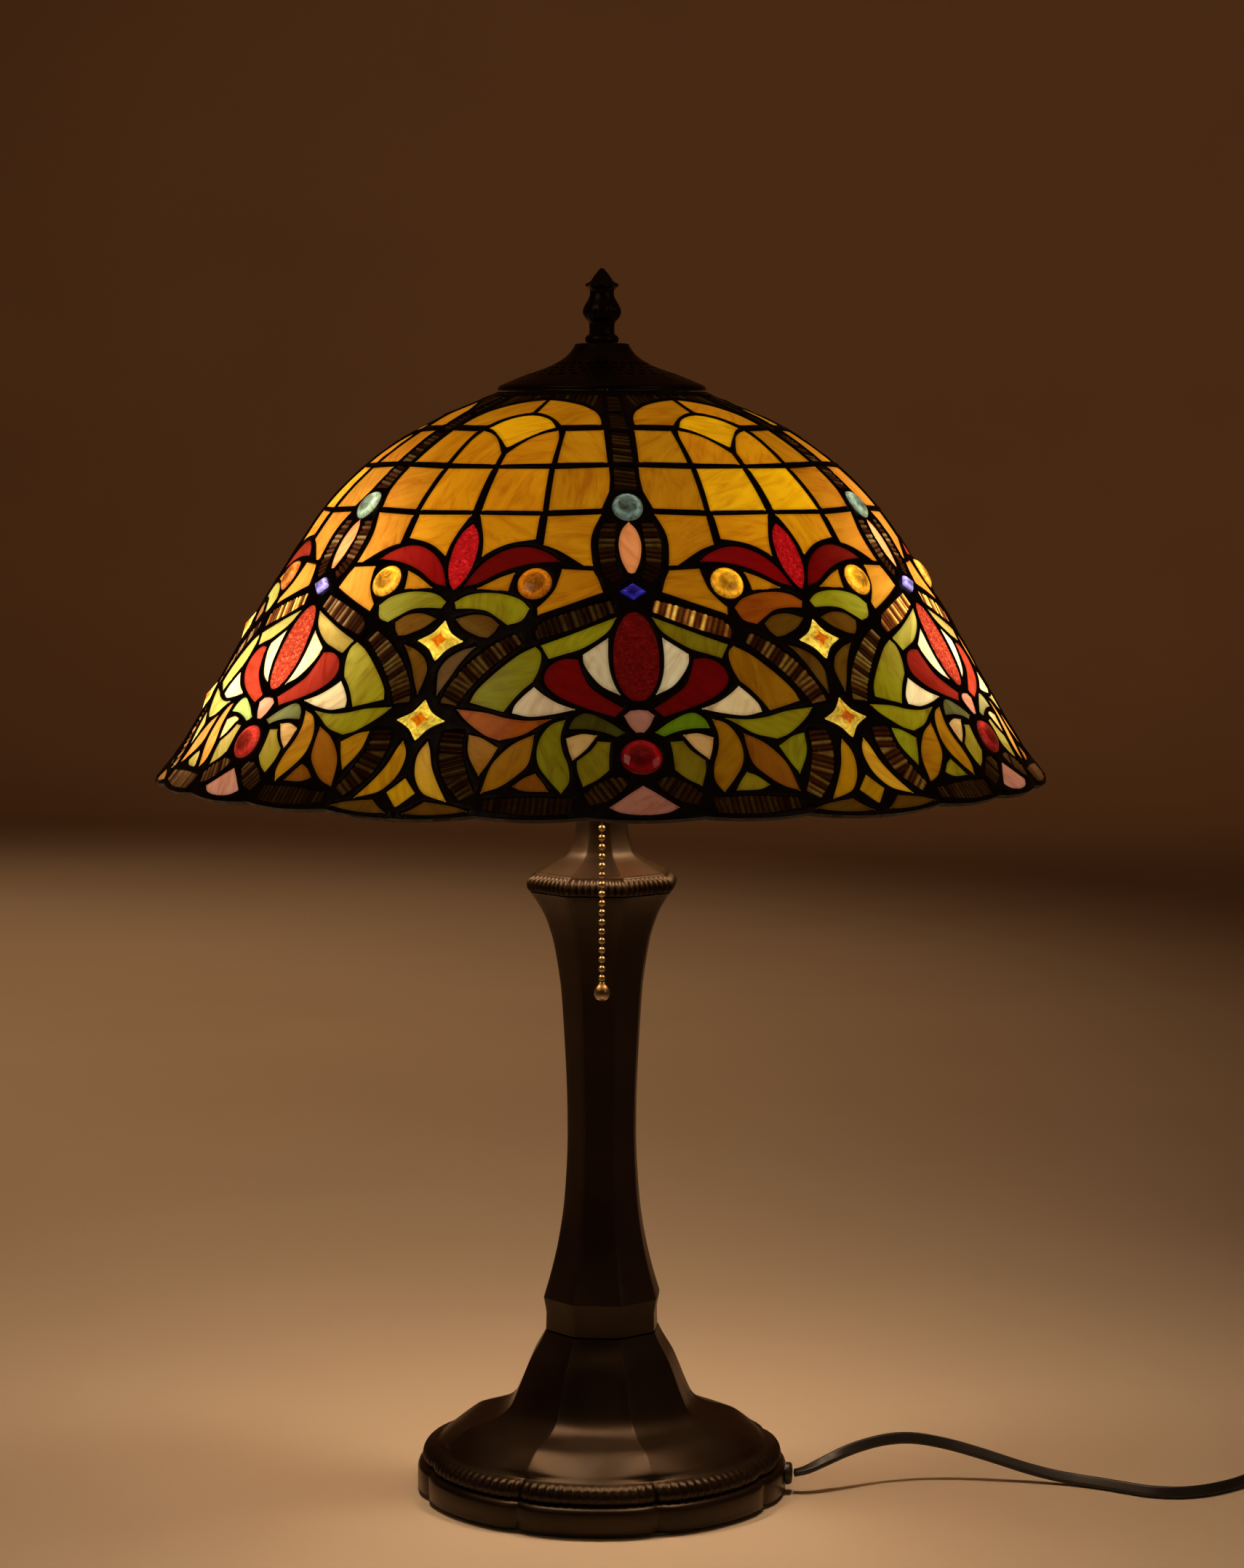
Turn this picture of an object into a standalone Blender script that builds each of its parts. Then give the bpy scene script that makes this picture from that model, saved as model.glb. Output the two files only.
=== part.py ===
"""Leaded-glass table lamp: octagonal cast foot and column, two lamp holders, six-sector glass dome.

Units are metres, +Z is up, -Y is the front, and the origin is the centre of the foot's underside.
Angles named in degrees run from the front, -Y, towards the right, +X.
"""

import math

import bmesh
import bpy
from mathutils import Euler, Vector

# Driving dimensions
GAP = 0.0003
SHADE_RADIUS = 0.208
SHADE_TURN = 5.0
SECTORS = 6
LEAD_DEPTH = 0.0045
GLASS_DEPTH = 0.0030
FOOT_TURN = -4.8
FOOT_SIDES = 8
ROD_RADIUS = 0.00475
ROD_BORE = 0.0033
ROD_HOLE = 0.0053
UPPER_ROD_RADIUS = 0.0031
UPPER_ROD_HOLE = 0.0036
CLUSTER_CENTRE = 0.396
SOCKET_TILT = 15.0
CHAIN_Y = -0.045
CHAIN_PIVOT_Z = 0.3835
BEAD_PITCH = 0.0043
BEAD_RADIUS = 0.0016
BEADS = 31
CORD_DIAMETER = 0.0056
BUSHING_ANGLE = 83.0
BUSHING_Z = 0.0092
COIL_CENTRE = (0.3555, 0.0240)
COIL_MEAN_RADIUS = 0.0310
COIL_SPACING = 0.0058
TAIL_ANGLE = 150.0
TAIL_HEADING = 60.0
PLUG_START = 0.045

# The dome's outer outline, radius and height, from the crown opening down to the rim.
SHADE_OUTLINE = (
    (0.0480, 0.5170),
    (0.0757, 0.5055),
    (0.0933, 0.4957),
    (0.1107, 0.4825),
    (0.1270, 0.4660),
    (0.1434, 0.4426),
    (0.1608, 0.4145),
    (0.1777, 0.3844),
    (0.1948, 0.3553),
    (SHADE_RADIUS, 0.3384),
)

# The foot's outer side: height, radius at the middle of a lobe, radius at the groove between lobes.
FOOT_OUTER = (
    (0.0015, 0.0873, 0.0848),
    (0.0125, 0.0873, 0.0848),
    (0.0140, 0.0862, 0.0838),
    (0.0147, 0.0838, 0.0815),
    (0.0168, 0.0846, 0.0823),
    (0.0195, 0.0843, 0.0820),
    (0.0220, 0.0820, 0.0798),
    (0.0232, 0.0785, 0.0770),
    (0.0262, 0.0740, 0.0735),
    (0.0305, 0.0680, 0.0685),
    (0.0334, 0.0625, 0.0640),
    (0.0352, 0.0555, 0.0580),
    (0.0373, 0.0486, 0.0515),
    (0.0415, 0.0430, 0.0458),
    (0.0479, 0.0395, 0.0423),
    (0.0605, 0.0342, 0.0370),
    (0.0654, 0.0320, 0.0346),
    (0.0724, 0.0280, 0.0303),
    (0.0770, 0.0259, 0.0280),
)
# The foot's hollow: height and radius.
FOOT_INNER = (
    (0.0770, ROD_HOLE),
    (0.0735, ROD_HOLE),
    (0.0735, 0.0230),
    (0.0640, 0.0285),
    (0.0500, 0.0350),
    (0.0400, 0.0395),
    (0.0345, 0.0455),
    (0.0320, 0.0525),
    (0.0300, 0.0590),
    (0.0262, 0.0670),
    (0.0205, 0.0745),
    (0.0150, 0.0785),
    (0.0130, 0.0815),
    (0.0015, 0.0815),
)
# The column's and the neck's corner radius over height.
COLUMN_OUTER = (
    (0.0773, 0.0280),
    (0.0861, 0.0278),
    (0.0931, 0.0291),
    (0.1047, 0.0255),
    (0.1166, 0.0225),
    (0.1282, 0.0203),
    (0.1397, 0.0188),
    (0.1582, 0.0175),
    (0.1741, 0.0172),
    (0.1973, 0.0177),
    (0.2315, 0.0197),
    (0.2453, 0.0211),
    (0.2601, 0.0237),
    (0.2676, 0.0258),
    (0.2752, 0.0288),
    (0.2824, 0.0332),
    (0.2856, 0.0357),
)
NECK_OUTER = (
    (0.2859, 0.0360),
    (0.2900, 0.0373),
    (0.2922, 0.0362),
    (0.2931, 0.0343),
    (0.2975, 0.0259),
    (0.3013, 0.0188),
    (0.3047, 0.0156),
    (0.3122, 0.0132),
    (0.3190, 0.0124),
    (0.3250, 0.0122),
)
CAST_BORE = 0.0090

# The run of the mains lead along the table, from the bushing to the coil.
LEAD_ROUTE = (
    (0.0908, -0.0112, 0.0094),
    (0.0970, -0.0116, 0.0112),
    (0.1060, -0.0080, 0.0145),
    (0.1170, -0.0025, 0.0180),
    (0.1290, 0.0040, 0.0200),
    (0.1400, 0.0080, 0.0208),
    (0.1510, 0.0105, 0.0200),
    (0.1650, 0.0112, 0.0172),
    (0.1780, 0.0100, 0.0138),
    (0.1900, 0.0082, 0.0104),
    (0.2020, 0.0060, 0.0070),
    (0.2140, 0.0030, 0.0045),
    (0.2260, -0.0010, 0.0032),
    (0.2370, -0.0065, 0.0029),
    (0.2470, -0.0130, 0.0029),
    (0.2570, -0.0190, 0.0029),
    (0.2690, -0.0215, 0.0029),
    (0.2810, -0.0190, 0.0029),
    (0.2910, -0.0135, 0.0029),
    (0.3000, -0.0065, 0.0029),
    (0.3070, 0.0010, 0.0029),
    (0.3138, 0.0104, 0.0029),
)
# The lead inside the foot, from the bushing to the rod's bore.
INNER_ROUTE = (
    (0.0868, -0.0107, 0.0092),
    (0.0800, -0.0098, 0.0088),
    (0.0700, -0.0088, 0.0060),
    (0.0550, -0.0090, 0.0048),
    (0.0380, -0.0070, 0.0045),
    (0.0200, -0.0040, 0.0045),
    (0.0080, -0.0012, 0.0038),
    (0.0022, -0.0002, 0.0048),
    (0.0003, 0.0000, 0.0077),
    (0.0000, 0.0000, 0.0110),
    (0.0000, 0.0000, 0.0140),
)


def clear_scene():
    for item in list(bpy.data.objects):
        bpy.data.objects.remove(item)


def material(name, color, roughness, metallic=0.0):
    """One Principled material, made once and then shared."""
    found = bpy.data.materials.get(name)
    if found:
        return found
    made = bpy.data.materials.new(name)
    made.use_nodes = True
    shader = made.node_tree.nodes["Principled BSDF"]
    shader.inputs["Base Color"].default_value = (*color, 1.0)
    shader.inputs["Roughness"].default_value = roughness
    shader.inputs["Metallic"].default_value = metallic
    return made


def bronze():
    return material("dark_bronze", (0.035, 0.028, 0.022), 0.38, 0.6)


def brass():
    return material("brass", (0.62, 0.45, 0.18), 0.32, 1.0)


def steel():
    return material("zinc_steel", (0.55, 0.55, 0.53), 0.35, 1.0)


def add_mesh(name, points, faces, finish):
    """A named object from points and faces, with its normals pointing out."""
    mesh = bpy.data.meshes.new(name)
    mesh.from_pydata(points, [], faces)
    work = bmesh.new()
    work.from_mesh(mesh)
    bmesh.ops.recalc_face_normals(work, faces=work.faces)
    work.to_mesh(mesh)
    work.free()
    mesh.materials.append(finish)
    item = bpy.data.objects.new(name, mesh)
    bpy.context.scene.collection.objects.link(item)
    return item


def around(radius, degrees, height):
    """The point at an angle from the front, towards the right."""
    angle = math.radians(degrees)
    return Vector((radius * math.sin(angle), -radius * math.cos(angle), height))


def turned(name, outline, finish, steps=24, ring=False):
    """A turned piece: its outline, as radius and height, runs down the outer side. A ring's outline closes."""
    mesh = bpy.data.meshes.new(name)
    edges = [(i, i + 1) for i in range(len(outline) - 1)]
    if ring:
        edges.append((len(outline) - 1, 0))
    mesh.from_pydata([(radius, 0.0, height) for radius, height in outline], edges, [])
    mesh.materials.append(finish)
    item = bpy.data.objects.new(name, mesh)
    bpy.context.scene.collection.objects.link(item)
    turn = item.modifiers.new("Turn", "SCREW")
    turn.steps = steps
    turn.render_steps = steps
    turn.use_merge_vertices = True
    turn.merge_threshold = 0.00002
    turn.use_smooth_shade = True
    return item


def tube(name, outer, inner, low, high, finish, steps=24):
    outline = ((outer, high), (outer, low), (inner, low), (inner, high))
    return turned(name, outline, finish, steps, ring=True)


def hex_nut(name, across_flats, bore, low, high, finish):
    """A six-sided nut with a round bore, as rings of 24 points."""
    sides, count = 6, 24
    half_side = math.pi / sides
    points = []
    for height, is_bore in ((low, False), (high, False), (high, True), (low, True)):
        for step in range(count):
            angle = 2 * math.pi * step / count
            local = (angle + half_side) % (2 * half_side) - half_side
            radius = bore if is_bore else across_flats / 2 / math.cos(local)
            points.append((radius * math.cos(angle), radius * math.sin(angle), height))
    return add_mesh(name, points, ring_faces(4, count, True), finish)


def ring_faces(rows, count, closed):
    """Quads between rows of equal rings, joined round, and from the last row to the first where closed."""
    faces = []
    for row in range(rows if closed else rows - 1):
        below, above = row * count, (row + 1) % rows * count
        for step in range(count):
            after = (step + 1) % count
            faces.append((below + step, below + after, above + after, above + step))
    return faces


def cut(item, cutter):
    """Takes the cutter's shape out of the item, and leaves the cutter out of the model."""
    cutter.hide_render = True
    cutter.display_type = "WIRE"
    take = item.modifiers.new("Cut", "BOOLEAN")
    take.operation = "DIFFERENCE"
    take.object = cutter
    take.solver = "EXACT"


def drill(name, radius, start, end):
    """A round cutter between two points."""
    along = end - start
    outline = ((0.0, along.length), (radius, along.length), (radius, 0.0), (0.0, 0.0))
    cutter = turned(name, outline, steel(), 24)
    cutter.location = start
    cutter.rotation_euler = along.to_track_quat("Z", "Y").to_euler()
    return cutter


def smooth_points(points, per_span):
    """Points along the Catmull-Rom curve through the given points."""
    spots = [Vector(point) for point in points]
    spots = [2 * spots[0] - spots[1], *spots, 2 * spots[-1] - spots[-2]]
    found = []
    for before, start, end, after in zip(spots, spots[1:], spots[2:], spots[3:]):
        for step in range(per_span):
            t = step / per_span
            first = 2 * start + (end - before) * t
            second = (2 * before - 5 * start + 4 * end - after) * t * t
            third = (3 * start - before - 3 * end + after) * t**3
            found.append((first + second + third) / 2)
    return [*found, spots[-2]]


def lead_tube(name, route, diameter, per_span, finish):
    """A plain round tube along a smooth curve through the route's points."""
    curve = bpy.data.curves.new(name, "CURVE")
    curve.dimensions = "3D"
    curve.bevel_depth = diameter / 2
    curve.bevel_resolution = 2
    curve.use_fill_caps = True
    spline = curve.splines.new("POLY")
    spots = smooth_points(route, per_span)
    spline.points.add(len(spots) - 1)
    for point, spot in zip(spline.points, spots):
        point.co = (*spot, 1.0)
    curve.materials.append(finish)
    item = bpy.data.objects.new(name, curve)
    bpy.context.scene.collection.objects.link(item)
    return item


def make_finial():
    outline = (
        (0.0, 0.5740),
        (0.0016, 0.5730),
        (0.0040, 0.5700),
        (0.0053, 0.5680),
        (0.0072, 0.5663),
        (0.0072, 0.5650),
        (0.0055, 0.5625),
        (0.0070, 0.5590),
        (0.0088, 0.5545),
        (0.0084, 0.5515),
        (0.0060, 0.5492),
        (0.0059, 0.5432),
        (0.0077, 0.5418),
        (0.0077, 0.5398),
        (0.0036, 0.5398),
        (0.0036, 0.5525),
        (0.0, 0.5535),
    )
    turned("finial", outline, bronze(), 20)


def make_vase_cap():
    outline = (
        (UPPER_ROD_HOLE, 0.5395),
        (0.0123, 0.5393),
        (0.0158, 0.5342),
        (0.0235, 0.5292),
        (0.0347, 0.5252),
        (0.0454, 0.5208),
        (0.0481, 0.5192),
        (0.0481, 0.5178),
        (0.0462, 0.5178),
        (0.0450, 0.5194),
        (0.0343, 0.5238),
        (0.0232, 0.5277),
        (0.0150, 0.5326),
        (0.0114, 0.5380),
        (UPPER_ROD_HOLE, 0.5380),
    )
    turned("vase_cap", outline, bronze(), 24, ring=True)


def make_crown_hardware():
    """What clamps the dome on the upper rod: the soldered ring, the spider plate, the seat and the nut."""
    tube("crown_ring", 0.0456, 0.0425, 0.5125, 0.5165, brass(), 32)
    tube("spider_plate", 0.0420, UPPER_ROD_HOLE, 0.5100, 0.5114, brass(), 32)
    tube("cap_seat_washer", 0.0090, UPPER_ROD_HOLE, 0.5364, 0.5377, steel())
    hex_nut("cap_nut", 0.0110, UPPER_ROD_HOLE, 0.5318, 0.5361, steel())
    outline = ((0.0, 0.5505), (UPPER_ROD_RADIUS, 0.5505), (UPPER_ROD_RADIUS, 0.4105), (0.0, 0.4105))
    turned("upper_rod", outline, brass(), 12)


def shade_rows():
    """Arc length, radius and height of points close together along the dome's outer outline."""
    flat = [(radius, 0.0, height) for radius, height in SHADE_OUTLINE]
    spots = smooth_points(flat, 12)
    total, rows = 0.0, [(0.0, spots[0])]
    for before, spot in zip(spots, spots[1:]):
        total += (spot - before).length
        rows.append((total, spot))
    return rows


SHADE_ROWS = shade_rows()
SHADE_LENGTH = SHADE_ROWS[-1][0]


def shade_point(degrees, arc, depth):
    """A point of the dome: angle round it, arc length down it from the crown, and depth under its outside."""
    for (low, start), (high, end) in zip(SHADE_ROWS, SHADE_ROWS[1:]):
        if arc <= high:
            break
    spot = start + (end - start) * ((arc - low) / (high - low))
    along = (end - start).normalized()
    spot = spot - Vector((-along.z, 0.0, along.x)) * depth
    return around(spot.x, degrees + SHADE_TURN, spot.z)


def folded(degrees):
    """The angle from the nearest rib, 0 to half a sector."""
    half = 180.0 / SECTORS
    return abs((degrees + half) % (2 * half) - half)


def shoulder_arc(degrees):
    """How far down the dome the shoulder band lies: high on a rib, low between two ribs."""
    return 0.143 + 0.056 * (folded(degrees) / 30.0) ** 1.9


def rim_arc(degrees):
    """The scalloped rim: one bulge under each rib, one beside it and a wide one between two ribs."""
    angle = folded(degrees)
    for centre, half_width, bulge in ((0.0, 7.0, 0.0016), (13.5, 6.5, 0.0016), (30.0, 10.0, 0.0030)):
        if abs(angle - centre) <= half_width:
            return 0.2432 + bulge * (1.0 - ((angle - centre) / half_width) ** 2)
    return 0.2432


COLUMN_ANGLES = (0.0, 1.7, 7.0, 13.5, 20.0, 28.3, 30.0, 31.7, 40.0, 46.5, 53.0, 58.3)
CROWN_BORDER = 0.007
BAND_HALF = 0.0028
RIM_BORDER = 0.0060
PANEL_ROWS = 4


def grid_arcs(degrees):
    """Arc lengths of the grid's rows at one angle: crown border, upper panels, band, lower panels, rim."""
    middle, rim = shoulder_arc(degrees), rim_arc(degrees)
    upper_end, lower_start, lower_end = middle - BAND_HALF, middle + BAND_HALF, rim - RIM_BORDER
    upper = [CROWN_BORDER + (upper_end - CROWN_BORDER) * k / PANEL_ROWS for k in range(PANEL_ROWS + 1)]
    lower = [lower_start + (lower_end - lower_start) * k / PANEL_ROWS for k in range(PANEL_ROWS + 1)]
    return [0.0, *upper, *lower, rim]


def is_lead(row, column):
    """Whether a cell of one sector's grid is leading: borders, the band, ribs above it and legs below it."""
    if row in (0, PANEL_ROWS + 1, 2 * PANEL_ROWS + 2):
        return True
    if row <= PANEL_ROWS:
        return column in (0, 11)
    return column in (5, 6)


def shell_from_cells(name, cells, corner, depths, finish):
    """A closed shell of two skins over the given grid cells, with walls round every open edge."""
    index, points, faces, edges = {}, [], [], {}

    def vertex(key, side):
        if (key, side) not in index:
            index[(key, side)] = len(points)
            points.append(corner(key, depths[side]))
        return index[(key, side)]

    for cell in cells:
        faces.append([vertex(key, 0) for key in cell])
        faces.append([vertex(key, 1) for key in reversed(cell)])
        for start, end in zip(cell, cell[1:] + cell[:1]):
            if (end, start) in edges:
                del edges[(end, start)]
            else:
                edges[(start, end)] = True
    for start, end in edges:
        faces.append([vertex(start, 0), vertex(start, 1), vertex(end, 1), vertex(end, 0)])
    return add_mesh(name, points, faces, finish)


def make_leading():
    """The soldered leading as one net: it holds every panel of the dome."""
    columns = [60.0 * s + angle for s in range(SECTORS) for angle in COLUMN_ANGLES]
    count, rows = len(columns), 2 * PANEL_ROWS + 3
    arcs = [grid_arcs(angle) for angle in columns]

    def corner(key, depth):
        return shade_point(columns[key[0]], arcs[key[0]][key[1]], depth)

    cells = []
    for step in range(count):
        after = (step + 1) % count
        for row in range(rows):
            if is_lead(row, step % len(COLUMN_ANGLES)):
                cells.append([(step, row), (after, row), (after, row + 1), (step, row + 1)])
    finish = material("leading", (0.030, 0.026, 0.024), 0.42, 0.7)
    shell_from_cells("shade_leading", cells, corner, (0.0, LEAD_DEPTH), finish)


def make_panel(name, start, first_row, first_column, finish):
    """One glass panel, shrunk by the gap all round, in the opening of the leading that starts there."""
    angles = [start + angle for angle in panel_angles(first_column)]
    across = len(angles) - 1

    def corner(key, depth):
        column, row = key
        arc = grid_arcs(angles[column])[first_row + row]
        radius = shade_point(0.0, arc, 0.0).xy.length
        angle = angles[column] + inward(column, across) * math.degrees(GAP / radius)
        return shade_point(angle, arc + inward(row, PANEL_ROWS) * GAP, depth)

    cells = []
    for column in range(across):
        for row in range(PANEL_ROWS):
            cells.append([(column, row), (column + 1, row), (column + 1, row + 1), (column, row + 1)])
    margin = (LEAD_DEPTH - GLASS_DEPTH) / 2
    shell_from_cells(name, cells, corner, (margin, LEAD_DEPTH - margin), finish)


def panel_angles(first_column):
    """The grid angles across a panel that starts at this column of a sector."""
    both = [*COLUMN_ANGLES, *(60.0 + angle for angle in COLUMN_ANGLES)]
    return both[first_column:first_column + 11]


def inward(place, last):
    """Towards the middle of a panel: 1 on its first line, -1 on its last, 0 between."""
    return int(place == 0) - int(place == last)


def make_panels():
    amber = material("amber_glass", (0.80, 0.50, 0.08), 0.20)
    mixed = material("flower_glass", (0.60, 0.30, 0.10), 0.20)
    for sector in range(SECTORS):
        start = 60.0 * sector
        make_panel(f"window_glass_{sector + 1}", start, 1, 1, amber)
        make_panel(f"flower_glass_{sector + 1}", start - 60.0, PANEL_ROWS + 2, 7, mixed)


def octagon_factor(degrees):
    """How far an octagon's side lies in from its corner circle at this angle, corners at half a side."""
    half = 180.0 / FOOT_SIDES
    local = (degrees + half) % (2 * half) - half
    return math.cos(math.radians(half)) / math.cos(math.radians(local))


def foot_radius(degrees, middle, groove):
    """The foot's outline: flat sides where the corners stand out, rounded lobes where they fall in."""
    half = 180.0 / FOOT_SIDES
    local = abs((degrees + half) % (2 * half) - half) / half
    power = 6 if groove < middle else 2
    return middle + (groove - middle) * local**power


def cast_ring(rows, count):
    """Points of the given rows of rings: each row is a height and a radius for each angle."""
    points = []
    for height, radius_at in rows:
        for step in range(count):
            degrees = 360.0 * step / count
            points.append(around(radius_at(degrees), degrees + FOOT_TURN, height))
    return points


def make_foot():
    count = 32
    rows = [(z, lambda a, m=m, g=g: foot_radius(a, m, g)) for z, m, g in FOOT_OUTER]
    rows += [(z, lambda a, r=r: r) for z, r in FOOT_INNER]
    foot = add_mesh("base_casting", cast_ring(rows, count), ring_faces(len(rows), count, True), bronze())
    start, end = bushing_point(0.076), bushing_point(0.095)
    cut(foot, drill("bushing_hole", 0.0037, start, end))


def make_octagon_casting(name, outer):
    """A casting of eight flat sides with a round bore right through it."""
    count = 16
    rows = [(z, lambda a, r=r: r * octagon_factor(a)) for z, r in outer]
    rows += [(z, lambda a: CAST_BORE) for z in (outer[-1][0], outer[0][0])]
    add_mesh(name, cast_ring(rows, count), ring_faces(len(rows), count, True), bronze())


def make_foot_hardware():
    tube("base_weight", 0.0620, 0.0060, 0.0165, 0.0250, material("iron", (0.12, 0.12, 0.12), 0.7, 0.8), 32)
    tube("weight_washer", 0.0160, ROD_HOLE, 0.0148, 0.0162, steel())
    hex_nut("rod_nut", 0.0145, ROD_HOLE, 0.0105, 0.0145, steel())
    felt = material("green_felt", (0.05, 0.09, 0.06), 0.95)
    turned("felt_pad", ((0.0, 0.0012), (0.0845, 0.0012), (0.0845, 0.0), (0.0, 0.0)), felt, 40)


def bushing_point(distance):
    return around(distance, BUSHING_ANGLE, BUSHING_Z)


def make_cord_bushing():
    outline = (
        (0.0031, 0.0140),
        (0.0045, 0.0138),
        (0.0053, 0.0126),
        (0.0053, 0.0113),
        (0.0034, 0.0113),
        (0.0034, 0.0060),
        (0.0026, 0.0060),
        (0.0026, 0.0140),
    )
    black = material("black_plastic", (0.015, 0.015, 0.015), 0.45)
    bushing = turned("cord_bushing", outline, black, 20, ring=True)
    bushing.location = bushing_point(0.0763)
    bushing.rotation_euler = (math.radians(90), 0.0, math.radians(BUSHING_ANGLE))


def make_rods():
    tube("centre_rod", ROD_RADIUS, ROD_BORE, 0.0080, 0.3868, steel(), 16)
    tube("riser_tube", 0.0085, 0.0056, 0.3253, 0.3807, bronze())
    hex_nut("cluster_nut", 0.0140, ROD_HOLE, 0.3834, 0.3864, steel())


def socket_frame(side):
    """Where a lamp holder stands: its base point and its turn, side 1 for right and -1 for left."""
    turn = Euler((0.0, side * math.radians(90.0 - SOCKET_TILT), 0.0))
    return Vector((0.0, 0.0, CLUSTER_CENTRE)), turn


def place_on_socket(item, side):
    item.location, item.rotation_euler = socket_frame(side)


def make_cluster():
    outline = (
        (0.0195, 0.4086),
        (0.0195, 0.3820),
        (0.0185, 0.3810),
        (ROD_HOLE, 0.3810),
        (ROD_HOLE, 0.3830),
        (0.0175, 0.3830),
        (0.0175, 0.4086),
    )
    cup = turned("cluster_cup", outline, bronze(), 32, ring=True)
    cover = (
        (UPPER_ROD_HOLE, 0.4165),
        (0.0110, 0.4160),
        (0.0170, 0.4135),
        (0.0195, 0.4110),
        (0.0195, 0.4090),
        (UPPER_ROD_HOLE, 0.4090),
    )
    turned("cluster_cover", cover, bronze(), 32, ring=True)
    for side, word in ((-1, "left"), (1, "right")):
        centre, turn = socket_frame(side)
        along = Vector((0.0, 0.0, 1.0))
        along.rotate(turn)
        cut(cup, drill(f"nipple_hole_{word}", 0.0051, centre + along * 0.010, centre + along * 0.026))


def make_lamp_holder(side, word):
    """One lamp holder with its bulb, turned about its own axis and then tilted into place."""
    shell = material("socket_shell", (0.30, 0.22, 0.10), 0.35, 1.0)
    nipple = tube(f"nipple_{word}", ROD_RADIUS, 0.0030, 0.0150, 0.0292, steel(), 16)
    cap = (
        (0.0080, 0.0262),
        (ROD_HOLE, 0.0262),
        (ROD_HOLE, 0.0282),
        (0.0078, 0.0282),
        (0.0145, 0.0322),
        (0.0145, 0.0375),
        (0.0165, 0.0375),
        (0.0165, 0.0318),
    )
    holder_cap = turned(f"socket_cap_{word}", cap, shell, 24, ring=True)
    body = (
        (0.0165, 0.0690),
        (0.0165, 0.0378),
        (0.0030, 0.0378),
        (0.0030, 0.0395),
        (0.0146, 0.0395),
        (0.0146, 0.0690),
    )
    holder = turned(f"socket_shell_{word}", body, shell, 24, ring=True)
    contact = ((0.0, 0.0424), (0.0045, 0.0424), (0.0060, 0.0398), (0.0, 0.0398))
    tip = turned(f"centre_contact_{word}", contact, brass(), 12)
    thread = bulb_base_outline()
    base = turned(f"bulb_base_{word}", thread, material("nickel", (0.6, 0.58, 0.52), 0.3, 1.0), 20)
    glass = turned(f"bulb_glass_{word}", bulb_outline(), material("opal_glass", (0.95, 0.9, 0.8), 0.3), 20, ring=True)
    for item in (nipple, holder_cap, holder, tip, base, glass):
        place_on_socket(item, side)


def bulb_base_outline():
    """The screw base: a button, a cone of insulation and a waved shell."""
    waves = [(0.0132 - 0.0007 * (k % 2), 0.0650 - 0.0026 * k) for k in range(7)]
    return ((0.0, 0.0697), (0.0128, 0.0697), *waves, (0.0060, 0.0450), (0.0045, 0.0428), (0.0, 0.0428))


def bulb_outline():
    """The envelope: a thin shell, open at its neck, with a ball of 48 mm."""
    ball_centre, ball_radius, wall = 0.1070, 0.0240, 0.0012
    outer, inner = [], []
    for degrees in range(6, 130, 14):
        angle = math.radians(degrees)
        outer.append((ball_radius * math.sin(angle), ball_centre + ball_radius * math.cos(angle)))
        inner.append(((ball_radius - wall) * math.sin(angle), ball_centre + (ball_radius - wall) * math.cos(angle)))
    top = ((0.0, ball_centre + ball_radius), *outer, (0.0145, 0.0800), (0.0125, 0.0700))
    under = ((0.0113, 0.0700), (0.0133, 0.0800), *inner[::-1], (0.0, ball_centre + ball_radius - wall))
    return (*top, *under)


def make_switch():
    """The pull switch on the front of the cluster, with the bore that its stem slides in."""
    outline = (
        (0.0, 0.0302),
        (0.0090, 0.0302),
        (0.0115, 0.0280),
        (0.0115, 0.0015),
        (0.0100, 0.0),
        (0.0, 0.0),
    )
    housing = turned("pull_switch", outline, bronze(), 20)
    housing.location = (0.0, -0.0198, 0.4000)
    housing.rotation_euler = (math.radians(90), 0.0, 0.0)
    low, high = Vector((0.0, CHAIN_Y, 0.3800)), Vector((0.0, CHAIN_Y, 0.4085))
    cut(housing, drill("stem_bore", 0.0024, low, high))
    stem = (
        (0.0, 0.0230),
        (0.0018, 0.0230),
        (0.0018, 0.0040),
        (0.0022, 0.0032),
        (0.0018, 0.0024),
        (0.0, 0.0022),
    )
    piece = turned("switch_stem", stem, brass(), 12)
    piece.location = (0.0, CHAIN_Y, CHAIN_PIVOT_Z)


def make_chain():
    """The ball chain under the stem: a swivel ball on the pivot, the chain as one body, and its end knob."""
    ball = [(BEAD_RADIUS * math.sin(math.radians(a)), BEAD_RADIUS * math.cos(math.radians(a))) for a in range(0, 181, 30)]
    swivel = turned("chain_swivel", ball, brass(), 8)
    beads = []
    for bead in range(BEADS):
        centre = -BEAD_PITCH * (bead + 1)
        beads.append((0.0011, centre + 0.0012))
        beads.append((BEAD_RADIUS, centre))
        beads.append((0.0011, centre - 0.0012))
        beads.append((0.0005, centre - 0.0021))
    beads.pop()
    chain = turned("pull_chain", ((0.0, beads[0][1]), *beads, (0.0, beads[-1][1])), brass(), 6)
    top = -BEAD_PITCH * BEADS - 0.00155
    knob_outline = (
        (0.0, top),
        (0.0016, top),
        (0.0022, top - 0.0015),
        (0.0034, top - 0.0035),
        (0.0036, top - 0.0060),
        (0.0024, top - 0.0082),
        (0.0, top - 0.0090),
    )
    knob = turned("chain_knob", knob_outline, brass(), 12)
    for piece in (swivel, chain, knob):
        piece.location = (0.0, CHAIN_Y, CHAIN_PIVOT_Z)


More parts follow.
